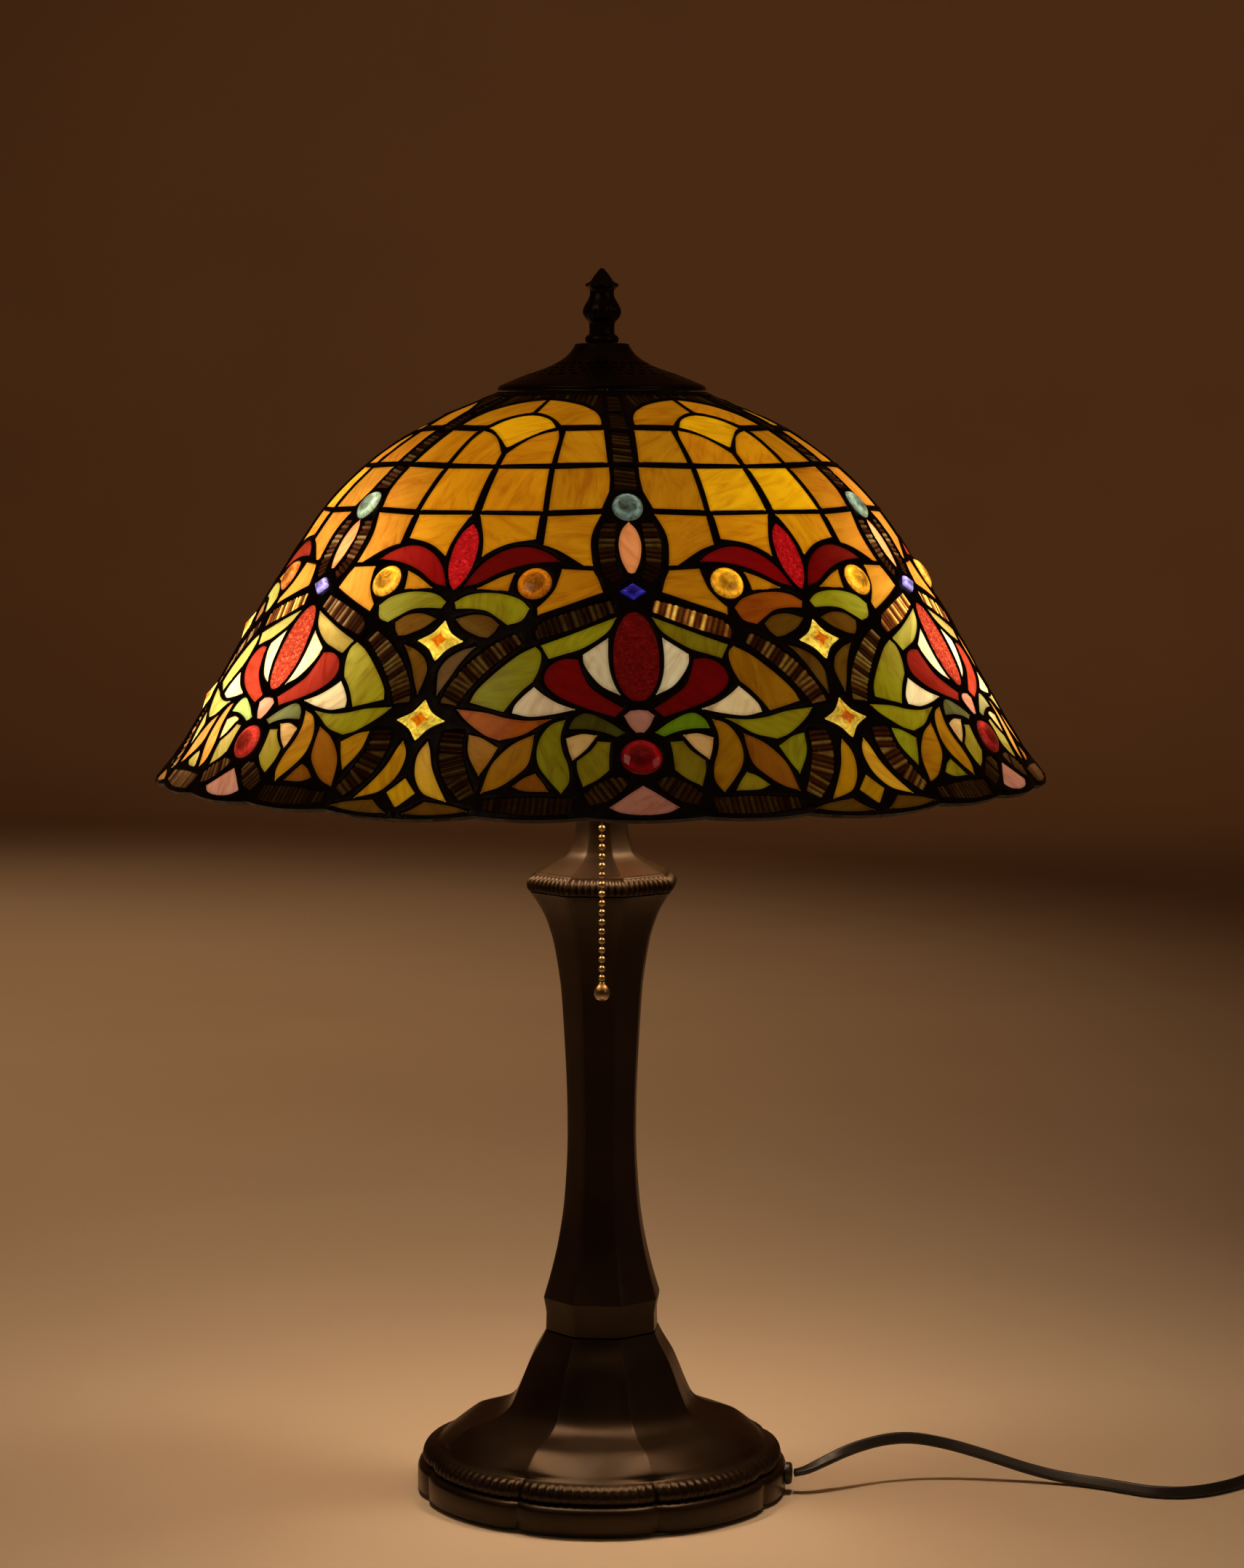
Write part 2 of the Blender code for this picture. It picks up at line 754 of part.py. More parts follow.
def tail_point(distance, height):
    """A point along the straight tangent on which the lead leaves the coil."""
    angle, heading = math.radians(TAIL_ANGLE), math.radians(TAIL_HEADING)
    radius = COIL_MEAN_RADIUS + COIL_SPACING
    x = COIL_CENTRE[0] + radius * math.cos(angle) + distance * math.cos(heading)
    y = COIL_CENTRE[1] + radius * math.sin(angle) + distance * math.sin(heading)
    return Vector((x, y, height))


def make_leads():
    rubber = material("black_lead", (0.012, 0.012, 0.012), 0.55)
    lead_tube("power_cord", LEAD_ROUTE, CORD_DIAMETER, 2, rubber)
    lead_tube("inner_lead", INNER_ROUTE, 0.0042, 2, rubber)
    tail = [tail_point(0.0222 + 0.0074 * k, 0.0098 - 0.0013 * k) for k in range(4)]
    lead_tube("cord_tail", tail, CORD_DIAMETER, 2, rubber)
    reach = 1.5 * COIL_SPACING
    coil = tube("cord_coil", COIL_MEAN_RADIUS + reach, COIL_MEAN_RADIUS - reach, 0.0002, 0.0174, rubber, 32)
    coil.location = (*COIL_CENTRE, 0.0)


def make_plug():
    """A flat moulded two-blade plug that lies on the table, its blades level."""
    black = material("black_plastic", (0.015, 0.015, 0.015), 0.45)
    sections = (
        (0.0003, 0.0045, 0.0034),
        (0.0060, 0.0050, 0.0040),
        (0.0100, 0.0090, 0.0048),
        (0.0160, 0.0118, 0.0052),
        (0.0290, 0.0122, 0.0052),
        (0.0310, 0.0108, 0.0046),
    )
    count = 16
    points = [rounded_point(section, 360.0 * k / count) for section in sections for k in range(count)]
    last = (len(sections) - 1) * count
    faces = ring_faces(len(sections), count, False)
    faces += [tuple(range(count)), tuple(range(last, last + count))]
    body = add_mesh("plug_body", points, faces, black)
    turn = Euler((0.0, 0.0, math.radians(TAIL_HEADING)))
    body.location = tail_point(PLUG_START, 0.0055)
    body.rotation_euler = turn
    for side, word in ((-1, "a"), (1, "b")):
        blade = add_blade(f"plug_blade_{word}", side * 0.00635)
        blade.location = body.location
        blade.rotation_euler = turn


def rounded_point(section, degrees):
    """A point of an upright rounded rectangle at a distance along +X, from half width and half height."""
    along, half_width, half_height = section
    angle = math.radians(degrees)
    cos, sin = math.cos(angle), math.sin(angle)
    squareness = (abs(cos) ** 4 + abs(sin) ** 4) ** 0.25
    return (along, half_width * cos / squareness, half_height * sin / squareness)


def add_blade(name, offset):
    length, half_thick, half_wide, start = 0.0175, 0.00075, 0.0031, 0.0313
    points = []
    for x, shrink in ((start, 1.0), (start + length - 0.0015, 1.0), (start + length, 0.55)):
        for side, up in ((-1, -1), (1, -1), (1, 1), (-1, 1)):
            points.append((x, offset + side * half_thick * shrink, up * half_wide * shrink))
    faces = [*ring_faces(3, 4, False), (0, 1, 2, 3), (8, 9, 10, 11)]
    return add_mesh(name, points, faces, material("nickel", (0.6, 0.58, 0.52), 0.3, 1.0))


def main():
    clear_scene()
    make_finial()
    make_vase_cap()
    make_crown_hardware()
    make_leading()
    make_panels()
    make_foot()
    make_octagon_casting("column", COLUMN_OUTER)
    make_octagon_casting("neck", NECK_OUTER)
    make_foot_hardware()
    make_rods()
    make_cluster()
    for side, word in ((-1, "left"), (1, "right")):
        make_lamp_holder(side, word)
    make_switch()
    make_chain()
    make_cord_bushing()
    make_leads()
    make_plug()


main()
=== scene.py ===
"""Blender 4.5 script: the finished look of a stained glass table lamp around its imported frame. Metres, +Z up.

Angles on the dome are degrees from a rib, and arcs are lengths down the dome from its crown.
"""

import math
import random
from bisect import bisect_left

import bmesh
import bpy
from mathutils import Matrix, Vector, noise
from mathutils.geometry import delaunay_2d_cdt
from mathutils.kdtree import KDTree


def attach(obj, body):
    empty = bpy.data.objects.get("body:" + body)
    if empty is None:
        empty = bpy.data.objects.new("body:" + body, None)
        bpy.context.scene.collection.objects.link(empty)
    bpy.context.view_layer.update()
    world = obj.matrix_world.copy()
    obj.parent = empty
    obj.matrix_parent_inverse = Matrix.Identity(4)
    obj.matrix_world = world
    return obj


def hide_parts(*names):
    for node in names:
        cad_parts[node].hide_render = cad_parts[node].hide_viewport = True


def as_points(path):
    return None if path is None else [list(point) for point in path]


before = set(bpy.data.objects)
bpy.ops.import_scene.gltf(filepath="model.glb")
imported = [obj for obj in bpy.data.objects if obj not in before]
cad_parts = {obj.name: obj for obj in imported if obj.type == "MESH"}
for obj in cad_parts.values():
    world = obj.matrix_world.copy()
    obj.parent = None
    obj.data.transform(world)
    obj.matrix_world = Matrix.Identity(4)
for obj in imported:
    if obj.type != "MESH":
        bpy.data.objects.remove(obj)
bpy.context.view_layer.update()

MM = 0.001
SECTORS = 6
SHADE_TURN = 5.0
FOOT_TURN = -4.8
FOOT_SIDES = 8
BULB_PLACES = (Vector((-0.1034, 0.0, 0.4237)), Vector((0.1034, 0.0, 0.4237)))
CHAIN_Y = -0.045
CHAIN_PIVOT_Z = 0.3835


# ---------------------------------------------------------------- shared modelling


def smooth_points(points, per_span):
    """Points along the Catmull-Rom curve through the given points."""
    spots = [Vector(point) for point in points]
    spots = [2 * spots[0] - spots[1], *spots, 2 * spots[-1] - spots[-2]]
    found = []
    for before, start, end, after in zip(spots, spots[1:], spots[2:], spots[3:]):
        for step in range(per_span):
            found.append(span_point(before, start, end, after, step / per_span))
    return [*found, spots[-2]]


def span_point(before, start, end, after, t):
    """A point of one Catmull-Rom span."""
    first = 2 * start + (end - before) * t
    second = (2 * before - 5 * start + 4 * end - after) * t * t
    third = (3 * start - before - 3 * end + after) * t**3
    return (first + second + third) / 2


def around(radius, degrees, height):
    """The point at an angle from the front, towards the right."""
    angle = math.radians(degrees)
    return Vector((radius * math.sin(angle), -radius * math.cos(angle), height))


def new_object(name, points, faces, finish):
    """A named, smooth-shaded mesh object with its normals pointing out."""
    mesh = bpy.data.meshes.new(name)
    mesh.from_pydata(points, [], faces)
    work = bmesh.new()
    work.from_mesh(mesh)
    bmesh.ops.recalc_face_normals(work, faces=work.faces)
    work.to_mesh(mesh)
    work.free()
    mesh.materials.append(finish)
    item = bpy.data.objects.new(name, mesh)
    bpy.context.scene.collection.objects.link(item)
    mesh.shade_smooth()
    return item


def weld(item, distance):
    """Joins points that lie together, and turns all faces outwards again."""
    work = bmesh.new()
    work.from_mesh(item.data)
    bmesh.ops.remove_doubles(work, verts=work.verts, dist=distance)
    bmesh.ops.recalc_face_normals(work, faces=work.faces)
    work.to_mesh(item.data)
    work.free()


def sharpen(item, degrees=35.0):
    """Breaks the smooth shading at edges sharper than the given angle."""
    item.data.set_sharp_from_angle(angle=math.radians(degrees))
    return item


def ring_faces(rows, count, closed):
    """Quads between rows of equal rings, joined round, and from the last row to the first where closed."""
    faces = []
    for row in range(rows if closed else rows - 1):
        below, above = row * count, (row + 1) % rows * count
        for step in range(count):
            after = (step + 1) % count
            faces.append((below + step, below + after, above + after, above + step))
    return faces


def tube_faces(rows, count):
    """Quads between rows of equal rings, and a face across each end."""
    last = (rows - 1) * count
    return [*ring_faces(rows, count, False), tuple(range(count)), tuple(range(last, last + count))]


def turned(name, outline, finish, steps=48, ring=False, radius_at=None):
    """A turned piece. radius_at(degrees, radius, height) can shape each ring; a ring's outline closes."""
    points = []
    for radius, height in outline:
        for step in range(steps):
            degrees = 360.0 * step / steps
            shaped = radius_at(degrees, radius, height) if radius_at else radius
            points.append(around(shaped, degrees, height))
    faces = ring_faces(len(outline), steps, True) if ring else tube_faces(len(outline), steps)
    item = new_object(name, points, faces, finish)
    weld(item, 1e-7)
    return sharpen(item)


def place(item, body, slot, *nodes):
    """Rides a piece on its body and hides the frame's nodes that it stands for; its slot argument is not used.
    """
    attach(item, body)
    if nodes:
        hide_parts(*nodes)
    return item


# ---------------------------------------------------------------- materials

WHITE_LIGHT = (1.0, 1.0, 1.0)


class Recipe:
    """A material under construction: its Principled shader and short calls for adding nodes."""

    def __init__(self, name, **values):
        """A new material with the given values on its Principled shader."""
        self.material = bpy.data.materials.new(name)
        self.material.use_nodes = True
        self.tree = self.material.node_tree
        self.shader = self.tree.nodes["Principled BSDF"]
        self.set(**values)

    def set(self, **values):
        """Feeds the Principled shader's inputs, named with _ for each space."""
        for key, value in values.items():
            self.feed(self.shader.inputs[key.replace("_", " ")], value)

    def feed(self, socket, value):
        """Links a socket to another node's output, or sets its value."""
        if isinstance(value, bpy.types.NodeSocket):
            self.tree.links.new(value, socket)
        elif isinstance(value, tuple) and len(value) == 3 and socket.type == "RGBA":
            socket.default_value = (*value, 1.0)
        else:
            socket.default_value = value

    def add(self, kind, settings=None, **values):
        """A new shader node with its settings, and values for its inputs."""
        made = self.tree.nodes.new("ShaderNode" + kind)
        for key, value in (settings or {}).items():
            setattr(made, key, value)
        for key, value in values.items():
            self.feed(made.inputs[key.replace("_", " ")], value)
        return made

    def grain(self, along, across):
        """A place on the glass, stretched along and across its grain."""
        source = self.add("UVMap", {"uv_map": "grain"})
        return self.add("Mapping", Vector=source.outputs["UV"], Scale=(along, across, 1.0)).outputs["Vector"]

    def glow(self, colour, strength):
        """Makes the surface shine by emission, a painted glow on glass and the bulb's own light on a bulb; the
        bulbs' own lights do the lighting, so it isn't sampled as a lamp.
        """
        self.set(Emission_Color=colour, Emission_Strength=strength)
        self.material.cycles.emission_sampling = "NONE"

    def lit(self, pattern, reflected=0.55):
        """Glass painted as lit from behind, by a painted glow: a pattern on each point's own tint, as strong as
        that tint's alpha.

        Its Base Color is the reflected share of that colour, or stays as it is where that is 0.
        """
        tint = self.add("Attribute", {"attribute_name": "tint"})
        body = self.times(tint.outputs["Color"], pattern)
        if reflected:
            self.set(Base_Color=self.times(body, (reflected, reflected, reflected)))
        self.glow(body, tint.outputs["Alpha"])

    def noise(self, scale, where=None, detail=3.0, distortion=0.0, roughness=0.5):
        """A noise value, read on the object unless another place is given."""
        where = where or self.add("TexCoord").outputs["Object"]
        made = self.add("TexNoise", Vector=where, Scale=scale, Detail=detail, Distortion=distortion)
        made.inputs["Roughness"].default_value = roughness
        return made.outputs["Fac"]

    def ramp(self, value, *stops):
        """A colour ramp: each stop is a place from 0 to 1 and a grey value or a colour."""
        made = self.add("ValToRGB", Fac=value)
        ramp = made.color_ramp
        for _ in range(len(stops) - 2):
            ramp.elements.new(0.5)
        for element, (spot, shade) in zip(ramp.elements, stops):
            element.position = spot
            element.color = (shade, shade, shade, 1.0) if isinstance(shade, float) else (*shade, 1.0)
        return made.outputs["Color"]

    def times(self, first, second):
        """Two colours multiplied."""
        made = self.add("Mix", {"data_type": "RGBA", "blend_type": "MULTIPLY"})
        self.feed(made.inputs[0], 1.0)
        self.feed(made.inputs[6], first)
        self.feed(made.inputs[7], second)
        return made.outputs[2]

    def bump(self, height, strength, distance=0.0005):
        """Roughens the surface's normal by a height."""
        made = self.add("Bump", Height=height, Strength=strength, Distance=distance)
        self.set(Normal=made.outputs["Normal"])


def cast_bronze():
    """Satin dark bronze paint over a zinc casting: faint orange peel, rubbed a little browner in patches."""
    recipe = Recipe("dark_bronze_paint", Metallic=0.35, Specular_Tint=(1.0, 0.76, 0.54))
    patches = recipe.noise(22.0, detail=4.0)
    recipe.set(Base_Color=recipe.ramp(patches, (0.35, (0.007, 0.004, 0.0025)), (0.7, (0.019, 0.011, 0.006))))
    recipe.set(Roughness=recipe.ramp(recipe.noise(60.0), (0.3, 0.28), (0.75, 0.38)))
    recipe.bump(recipe.noise(900.0, detail=2.0), 0.10, 0.0002)
    return recipe.material


def patinated_solder():
    """Black patina on uneven solder: soft lumps, duller in patches, a brown cast here and there."""
    recipe = Recipe("patinated_solder", Metallic=0.6)
    lumps = recipe.noise(130.0, detail=4.0)
    recipe.set(Base_Color=recipe.ramp(lumps, (0.3, (0.005, 0.004, 0.004)), (0.75, (0.020, 0.014, 0.011))))
    recipe.set(Roughness=recipe.ramp(recipe.noise(300.0), (0.3, 0.32), (0.7, 0.55)))
    recipe.bump(recipe.noise(420.0), 0.35, 0.0004)
    return recipe.material


def art_glass():
    """Opal art glass: each piece's own tint in swirling streaks, glossy and faintly rippled."""
    recipe = Recipe("art_glass", Roughness=0.16, Coat_Weight=0.25)
    streaks = recipe.noise(1.0, recipe.grain(38.0, 150.0), 4.0, 1.3, 0.6)
    clouds = recipe.noise(1.0, recipe.grain(30.0, 30.0), 3.0, 0.6)
    streak_stops = ((0.28, (0.74, 0.60, 0.50)), (0.52, WHITE_LIGHT), (0.8, (1.12, 1.16, 1.25)))
    cloud_stops = ((0.25, (0.84, 0.74, 0.62)), (0.7, (1.08, 1.10, 1.12)))
    recipe.lit(recipe.times(recipe.ramp(streaks, *streak_stops), recipe.ramp(clouds, *cloud_stops)))
    recipe.bump(recipe.noise(170.0, detail=2.0), 0.22, 0.0006)
    return recipe.material


def hammered_glass():
    """Hammered glass: the tint broken into small dark cells and bright cells, the bright ones painted
    highlights whitened by the light.
    """
    recipe = Recipe("hammered_glass", Roughness=0.12, Coat_Weight=0.4)
    cells = recipe.noise(1.0, recipe.grain(620.0, 430.0), 3.0, 1.2, 0.7)
    recipe.lit(recipe.ramp(cells, (0.36, (0.55, 0.40, 0.40)), (0.55, WHITE_LIGHT), (0.74, (1.9, 6.0, 5.0))))
    recipe.bump(cells, 0.5, 0.0008)
    return recipe.material


def jewel_glass():
    """Pressed glass: clear depth with bright swirls, very glossy."""
    recipe = Recipe("jewel_glass", Roughness=0.05, Coat_Weight=1.0, Specular_IOR_Level=0.8)
    swirl = recipe.noise(230.0, distortion=2.0)
    stops = ((0.30, (0.62, 0.42, 0.30)), (0.52, WHITE_LIGHT), (0.72, (1.35, 1.5, 1.8)))
    recipe.lit(recipe.ramp(swirl, *stops), 0.6)
    return recipe.material


def ribbed_glass():
    """Ribbed brown glass: each ridge painted as lit by its own share, glossy, with an amber shine."""
    shine = {"Specular_IOR_Level": 0.3, "Specular_Tint": (1.0, 0.62, 0.30)}
    recipe = Recipe("ribbed_glass", Roughness=0.16, **shine)
    depth = recipe.noise(260.0, detail=2.0)
    recipe.lit(recipe.ramp(depth, (0.3, (0.7, 0.6, 0.5)), (0.7, (1.2, 1.25, 1.3))), reflected=0.0)
    recipe.set(Base_Color=(0.022, 0.009, 0.004))
    return recipe.material


def plain_metal(name, dark, light, rough_low, rough_high, scale=90.0, metallic=1.0):
    """Metal with slight variation in tone and roughness."""
    recipe = Recipe(name, Metallic=metallic)
    tone = recipe.noise(scale, detail=4.0)
    recipe.set(Base_Color=recipe.ramp(tone, (0.3, dark), (0.7, light)))
    recipe.set(Roughness=recipe.ramp(recipe.noise(scale * 3.0), (0.3, rough_low), (0.7, rough_high)))
    recipe.bump(recipe.noise(scale * 9.0, detail=2.0), 0.08, 0.0002)
    return recipe.material


def opal_bulb():
    """A lit opal bulb: warm, a little whiter in patches."""
    recipe = Recipe("opal_bulb", Base_Color=(0.9, 0.85, 0.75), Roughness=0.25)
    warmth = recipe.ramp(recipe.noise(40.0), (0.3, (1.0, 0.66, 0.32)), (0.7, (1.0, 0.74, 0.42)))
    recipe.glow(warmth, 14.0)
    return recipe.material


def rubber(name, rough):
    """Soft black plastic with a fine grain and worn, greyer spots."""
    recipe = Recipe(name)
    tone = recipe.noise(50.0)
    recipe.set(Base_Color=recipe.ramp(tone, (0.35, (0.010, 0.009, 0.009)), (0.7, (0.022, 0.019, 0.017))))
    recipe.set(Roughness=recipe.ramp(recipe.noise(240.0), (0.3, rough - 0.06), (0.7, rough + 0.08)))
    recipe.bump(recipe.noise(1500.0, detail=2.0), 0.12, 0.0002)
    return recipe.material


def wool_felt():
    """Green felt: matted fibres of mixed shade."""
    recipe = Recipe("green_felt", Roughness=0.95, Sheen_Weight=0.5)
    fibres = recipe.noise(900.0, detail=6.0, distortion=2.0)
    recipe.set(Base_Color=recipe.ramp(fibres, (0.3, (0.02, 0.05, 0.03)), (0.7, (0.07, 0.13, 0.08))))
    recipe.bump(fibres, 0.6, 0.0006)
    return recipe.material


BRONZE = cast_bronze()
SOLDER = patinated_solder()
ART_GLASS = art_glass()
HAMMERED = hammered_glass()
JEWEL = jewel_glass()
RIBBED_GLASS = ribbed_glass()
BRASS = plain_metal("worn_brass", (0.40, 0.30, 0.16), (0.60, 0.48, 0.28), 0.20, 0.32)
STEEL = plain_metal("zinc_steel", (0.46, 0.46, 0.44), (0.62, 0.62, 0.60), 0.28, 0.42)
NICKEL = plain_metal("nickel_plate", (0.52, 0.50, 0.45), (0.68, 0.66, 0.60), 0.20, 0.32)
AGED_BRASS = plain_metal("aged_brass", (0.20, 0.14, 0.06), (0.36, 0.27, 0.12), 0.28, 0.45)
IRON = plain_metal("cast_iron", (0.07, 0.07, 0.07), (0.15, 0.14, 0.13), 0.6, 0.8, 40.0, 0.8)
BULB = opal_bulb()
LEAD_RUBBER = rubber("lead_rubber", 0.46)
PLASTIC = rubber("black_plastic", 0.38)
FELT = wool_felt()


# ---------------------------------------------------------------- camera, floor and lights


CAMERA_PLACE = (0.0, -1.70, 0.494)
CAMERA_DIP = 5.34
CAMERA_LENS = 83.94
CAMERA_SHIFT = 0.0128
FLOOR_ROUND = 3.4
FLOOR_BEND = 1.6
BACKDROP_TOP = 7.0
FLOOR_STEPS = 96


def make_camera():
    """The camera, set to match the photo's view."""
    data = bpy.data.cameras.new("camera")
    data.sensor_width = 36.0
    data.lens = CAMERA_LENS
    data.shift_x = CAMERA_SHIFT
    camera = bpy.data.objects.new("camera", data)
    camera.location = CAMERA_PLACE
    camera.rotation_euler = (math.radians(90.0 - CAMERA_DIP), 0.0, 0.0)
    bpy.context.scene.collection.objects.link(camera)
    bpy.context.scene.camera = camera


def make_floor():
    """A pale round sweep: a flat floor that curves up into a backdrop all round, far off."""
    recipe = Recipe("pale_paper", Roughness=0.75)
    tone = recipe.noise(3.0)
    recipe.set(Base_Color=recipe.ramp(tone, (0.3, (0.60, 0.49, 0.37)), (0.7, (0.64, 0.53, 0.40))))
    rows = [(0.4, 0.0), (1.5, 0.0), (FLOOR_ROUND, 0.0)]
    for degrees in range(6, 91, 6):
        angle = math.radians(degrees)
        rows.append((FLOOR_ROUND + FLOOR_BEND * math.sin(angle), FLOOR_BEND * (1 - math.cos(angle))))
    rows.append((FLOOR_ROUND + FLOOR_BEND, BACKDROP_TOP))
    turns = [360.0 * step / FLOOR_STEPS for step in range(FLOOR_STEPS)]
    points = [around(radius, degrees, height) for radius, height in rows for degrees in turns]
    faces = [*ring_faces(len(rows), FLOOR_STEPS, False), tuple(range(FLOOR_STEPS))]
    new_object("floor", points, faces, recipe.material)


def add_light(name, kind, place, aim, power, colour):
    """A light at a place, turned towards a point."""
    data = bpy.data.lights.new(name, kind)
    data.energy = power
    data.color = colour
    item = bpy.data.objects.new(name, data)
    item.location = place
    item.rotation_euler = (Vector(aim) - Vector(place)).to_track_quat("-Z", "Y").to_euler()
    bpy.context.scene.collection.objects.link(item)
    return data


def make_lights():
    """A dim, warm studio, so that the glass's painted glow carries the picture, and the light of the two bulbs.
    """
    middle = (0.0, 0.0, 0.2)
    add_light("key", "AREA", (-1.5, -1.6, 1.9), middle, 2.6, (1.0, 0.76, 0.53)).size = 1.4
    add_light("fill", "AREA", (1.9, -1.2, 1.3), middle, 1.3, (1.0, 0.74, 0.50)).size = 1.4
    pool = add_light("floor_pool", "SPOT", (-0.80, 1.30, 3.0), (-0.80, 1.30, 0.0), 120.0, (1.0, 0.62, 0.34))
    haze = add_light("backdrop_glow", "SPOT", (0.4, 1.2, 3.4), (0.4, 4.8, 0.35), 40.0, (1.0, 0.44, 0.17))
    for spot in (pool, haze):
        spot.spot_size = math.radians(62.0)
        spot.spot_blend = 1.0
    for number, place in enumerate(BULB_PLACES):
        bulb = add_light(f"bulb_light_{number + 1}", "POINT", place, middle, 2.2, (1.0, 0.79, 0.56))
        bulb.shadow_soft_size = BULB_RADIUS
    world = bpy.data.worlds.new("studio")
    world.use_nodes = True
    world.node_tree.nodes["Background"].inputs["Color"].default_value = (1.0, 0.38, 0.14, 1.0)
    world.node_tree.nodes["Background"].inputs["Strength"].default_value = 0.06
    bpy.context.scene.world = world
    bpy.context.scene.view_settings.view_transform = "Standard"


# ---------------------------------------------------------------- the lead, its bushing and its plug

LEAD_WIDTH = 0.0056
LEAD_THICKNESS = 0.0030
COIL_CENTRE = (0.3555, 0.0240)
COIL_MEAN_RADIUS = 0.0310
COIL_SPACING = 0.0058
COIL_HEIGHTS = (0.0029, 0.0087, 0.0145)
COIL_EASE_FROM = 0.72
TURN_POINTS = 36
TAIL_ANGLE = 150.0
TAIL_HEADING = 60.0
PLUG_START = 0.045
PLUG_HEIGHT = 0.0055
TAIL_FALL = (
    (0.000, 0.0143), (0.008, 0.0133), (0.016, 0.0113), (0.024, 0.0092), (0.032, 0.0073), (0.039, 0.0060),
    (PLUG_START, PLUG_HEIGHT),
)
LEAD_TWIST = (
    (0.0, 4.0), (0.02, 35.0), (0.045, 80.0), (0.075, 62.0), (0.11, 50.0), (0.16, 55.0), (0.24, 78.0),
    (0.27, 90.0),
)
BUSHING_ANGLE = 83.0
BUSHING_Z = 0.0092
LEAD_ROUTE = (
    (0.0908, -0.0112, 0.0094), (0.0970, -0.0116, 0.0112), (0.1060, -0.0080, 0.0145),
    (0.1170, -0.0025, 0.0180), (0.1290, 0.0040, 0.0200), (0.1400, 0.0080, 0.0208), (0.1510, 0.0105, 0.0200),
    (0.1650, 0.0112, 0.0172), (0.1780, 0.0100, 0.0138), (0.1900, 0.0082, 0.0104), (0.2020, 0.0060, 0.0070),
    (0.2140, 0.0030, 0.0045), (0.2260, -0.0010, 0.0032), (0.2370, -0.0065, 0.0029),
    (0.2470, -0.0130, 0.0029), (0.2570, -0.0190, 0.0029), (0.2690, -0.0215, 0.0029),
    (0.2810, -0.0190, 0.0029), (0.2910, -0.0135, 0.0029), (0.3000, -0.0065, 0.0029),
    (0.3070, 0.0010, 0.0029), (0.3138, 0.0104, 0.0029), (0.3170, 0.0165, 0.0029),
)


def coil_points():
    """The coil, wound clockwise seen from above: in, up a layer, out again, and round on top."""
    outer, middle, inner = (COIL_MEAN_RADIUS + k * COIL_SPACING for k in (1, 0, -1))
    low, mid, high = COIL_HEIGHTS
    turns = [(outer, low), (middle, low), (inner, low), (inner, mid), (middle, mid), (outer, mid)]
    turns.append((outer, high))
    found = []
    for start, end in zip(turns, [*turns[1:], turns[-1]]):
        for step in range(TURN_POINTS):
            share = step / TURN_POINTS
            ease = max(0.0, (share - COIL_EASE_FROM) / (1.0 - COIL_EASE_FROM))
            ease = ease * ease * (3.0 - 2.0 * ease)
            found.append(coil_point(180.0 - 360.0 * share, start, end, ease))
    last = turns[-1]
    return found + [coil_point(degrees, last, last, 0.0) for degrees in (180.0, 172.0, 164.0, 157.0)]


def coil_point(degrees, start, end, ease):
    """A point of the coil, between one turn's (radius, height) and the next one's."""
    angle = math.radians(degrees)
    radius = start[0] + (end[0] - start[0]) * ease
    height = start[1] + (end[1] - start[1]) * ease
    x, y = COIL_CENTRE
    return Vector((x + radius * math.cos(angle), y + radius * math.sin(angle), height))


def tail_point(distance, height):
    """A point along the straight tangent on which the lead leaves the coil."""
    angle, heading = math.radians(TAIL_ANGLE), math.radians(TAIL_HEADING)
    radius = COIL_MEAN_RADIUS + COIL_SPACING
    x = COIL_CENTRE[0] + radius * math.cos(angle) + distance * math.cos(heading)
    y = COIL_CENTRE[1] + radius * math.sin(angle) + distance * math.sin(heading)
    return Vector((x, y, height))


def lead_line():
    """The whole centre line of the lead, from the bushing to the plug."""
    loose = [Vector(point) for point in LEAD_ROUTE]
    tail = [tail_point(distance, height) for distance, height in TAIL_FALL]
    return smooth_points([*loose, *coil_points(), *tail], 3)


def twin_section(count=20):
    """The flat twin lead's section: two round cores side by side with a groove between."""
    found = []
    core = LEAD_THICKNESS / 2
    reach = LEAD_WIDTH / 2 - core
    for step in range(count):
        angle = 2 * math.pi * step / count
        across = reach * math.tanh(4.0 * math.cos(angle)) + core * math.cos(angle)
        groove = 1.0 - 0.35 * math.exp(-((across / (0.35 * reach)) ** 2))
        found.append((across, core * math.sin(angle) * groove))
    return found


def lead_twist(distance):
    """How far the flat lead is turned from lying flat, in degrees, at a distance from its bushing."""
    for (start, first), (end, second) in zip(LEAD_TWIST, LEAD_TWIST[1:]):
        if distance <= end:
            return first + (second - first) * max(0.0, distance - start) / (end - start)
    return LEAD_TWIST[-1][1]


def make_lead():
    """The lead: its section swept along its line and twisted, and that line."""
    line = lead_line()
    section = twin_section()
    points, travelled = [], 0.0
    for behind, spot, ahead in zip([line[0], *line], line, [*line[1:], line[-1]]):
        along = (ahead - behind).normalized()
        travelled += (spot - behind).length
        level = Vector((0.0, 0.0, 1.0)).cross(along).normalized()
        turn = math.radians(lead_twist(travelled))
        wide = level * math.cos(turn) + along.cross(level) * math.sin(turn)
        thin = along.cross(wide)
        points += [spot + wide * across + thin * up for across, up in section]
    lead = new_object("flat_twin_lead", points, tube_faces(len(line), len(section)), LEAD_RUBBER)
    place(lead, "stand", "lead_rubber", "power_cord", "cord_coil", "cord_tail")
    return lead, line


PLUG_BODY = (
    (0.0090, 0.0068, 0.0044), (0.0104, 0.0094, 0.0049), (0.0124, 0.0110, 0.0051), (0.0148, 0.0118, 0.0052),
)
PLUG_FACE = (
    (0.0256, 0.0122, 0.0052), (0.0290, 0.0122, 0.0052), (0.0303, 0.0118, 0.0050), (0.0309, 0.0110, 0.0045),
    (0.0310, 0.0100, 0.0040),
)
PLUG_STEPS = 40


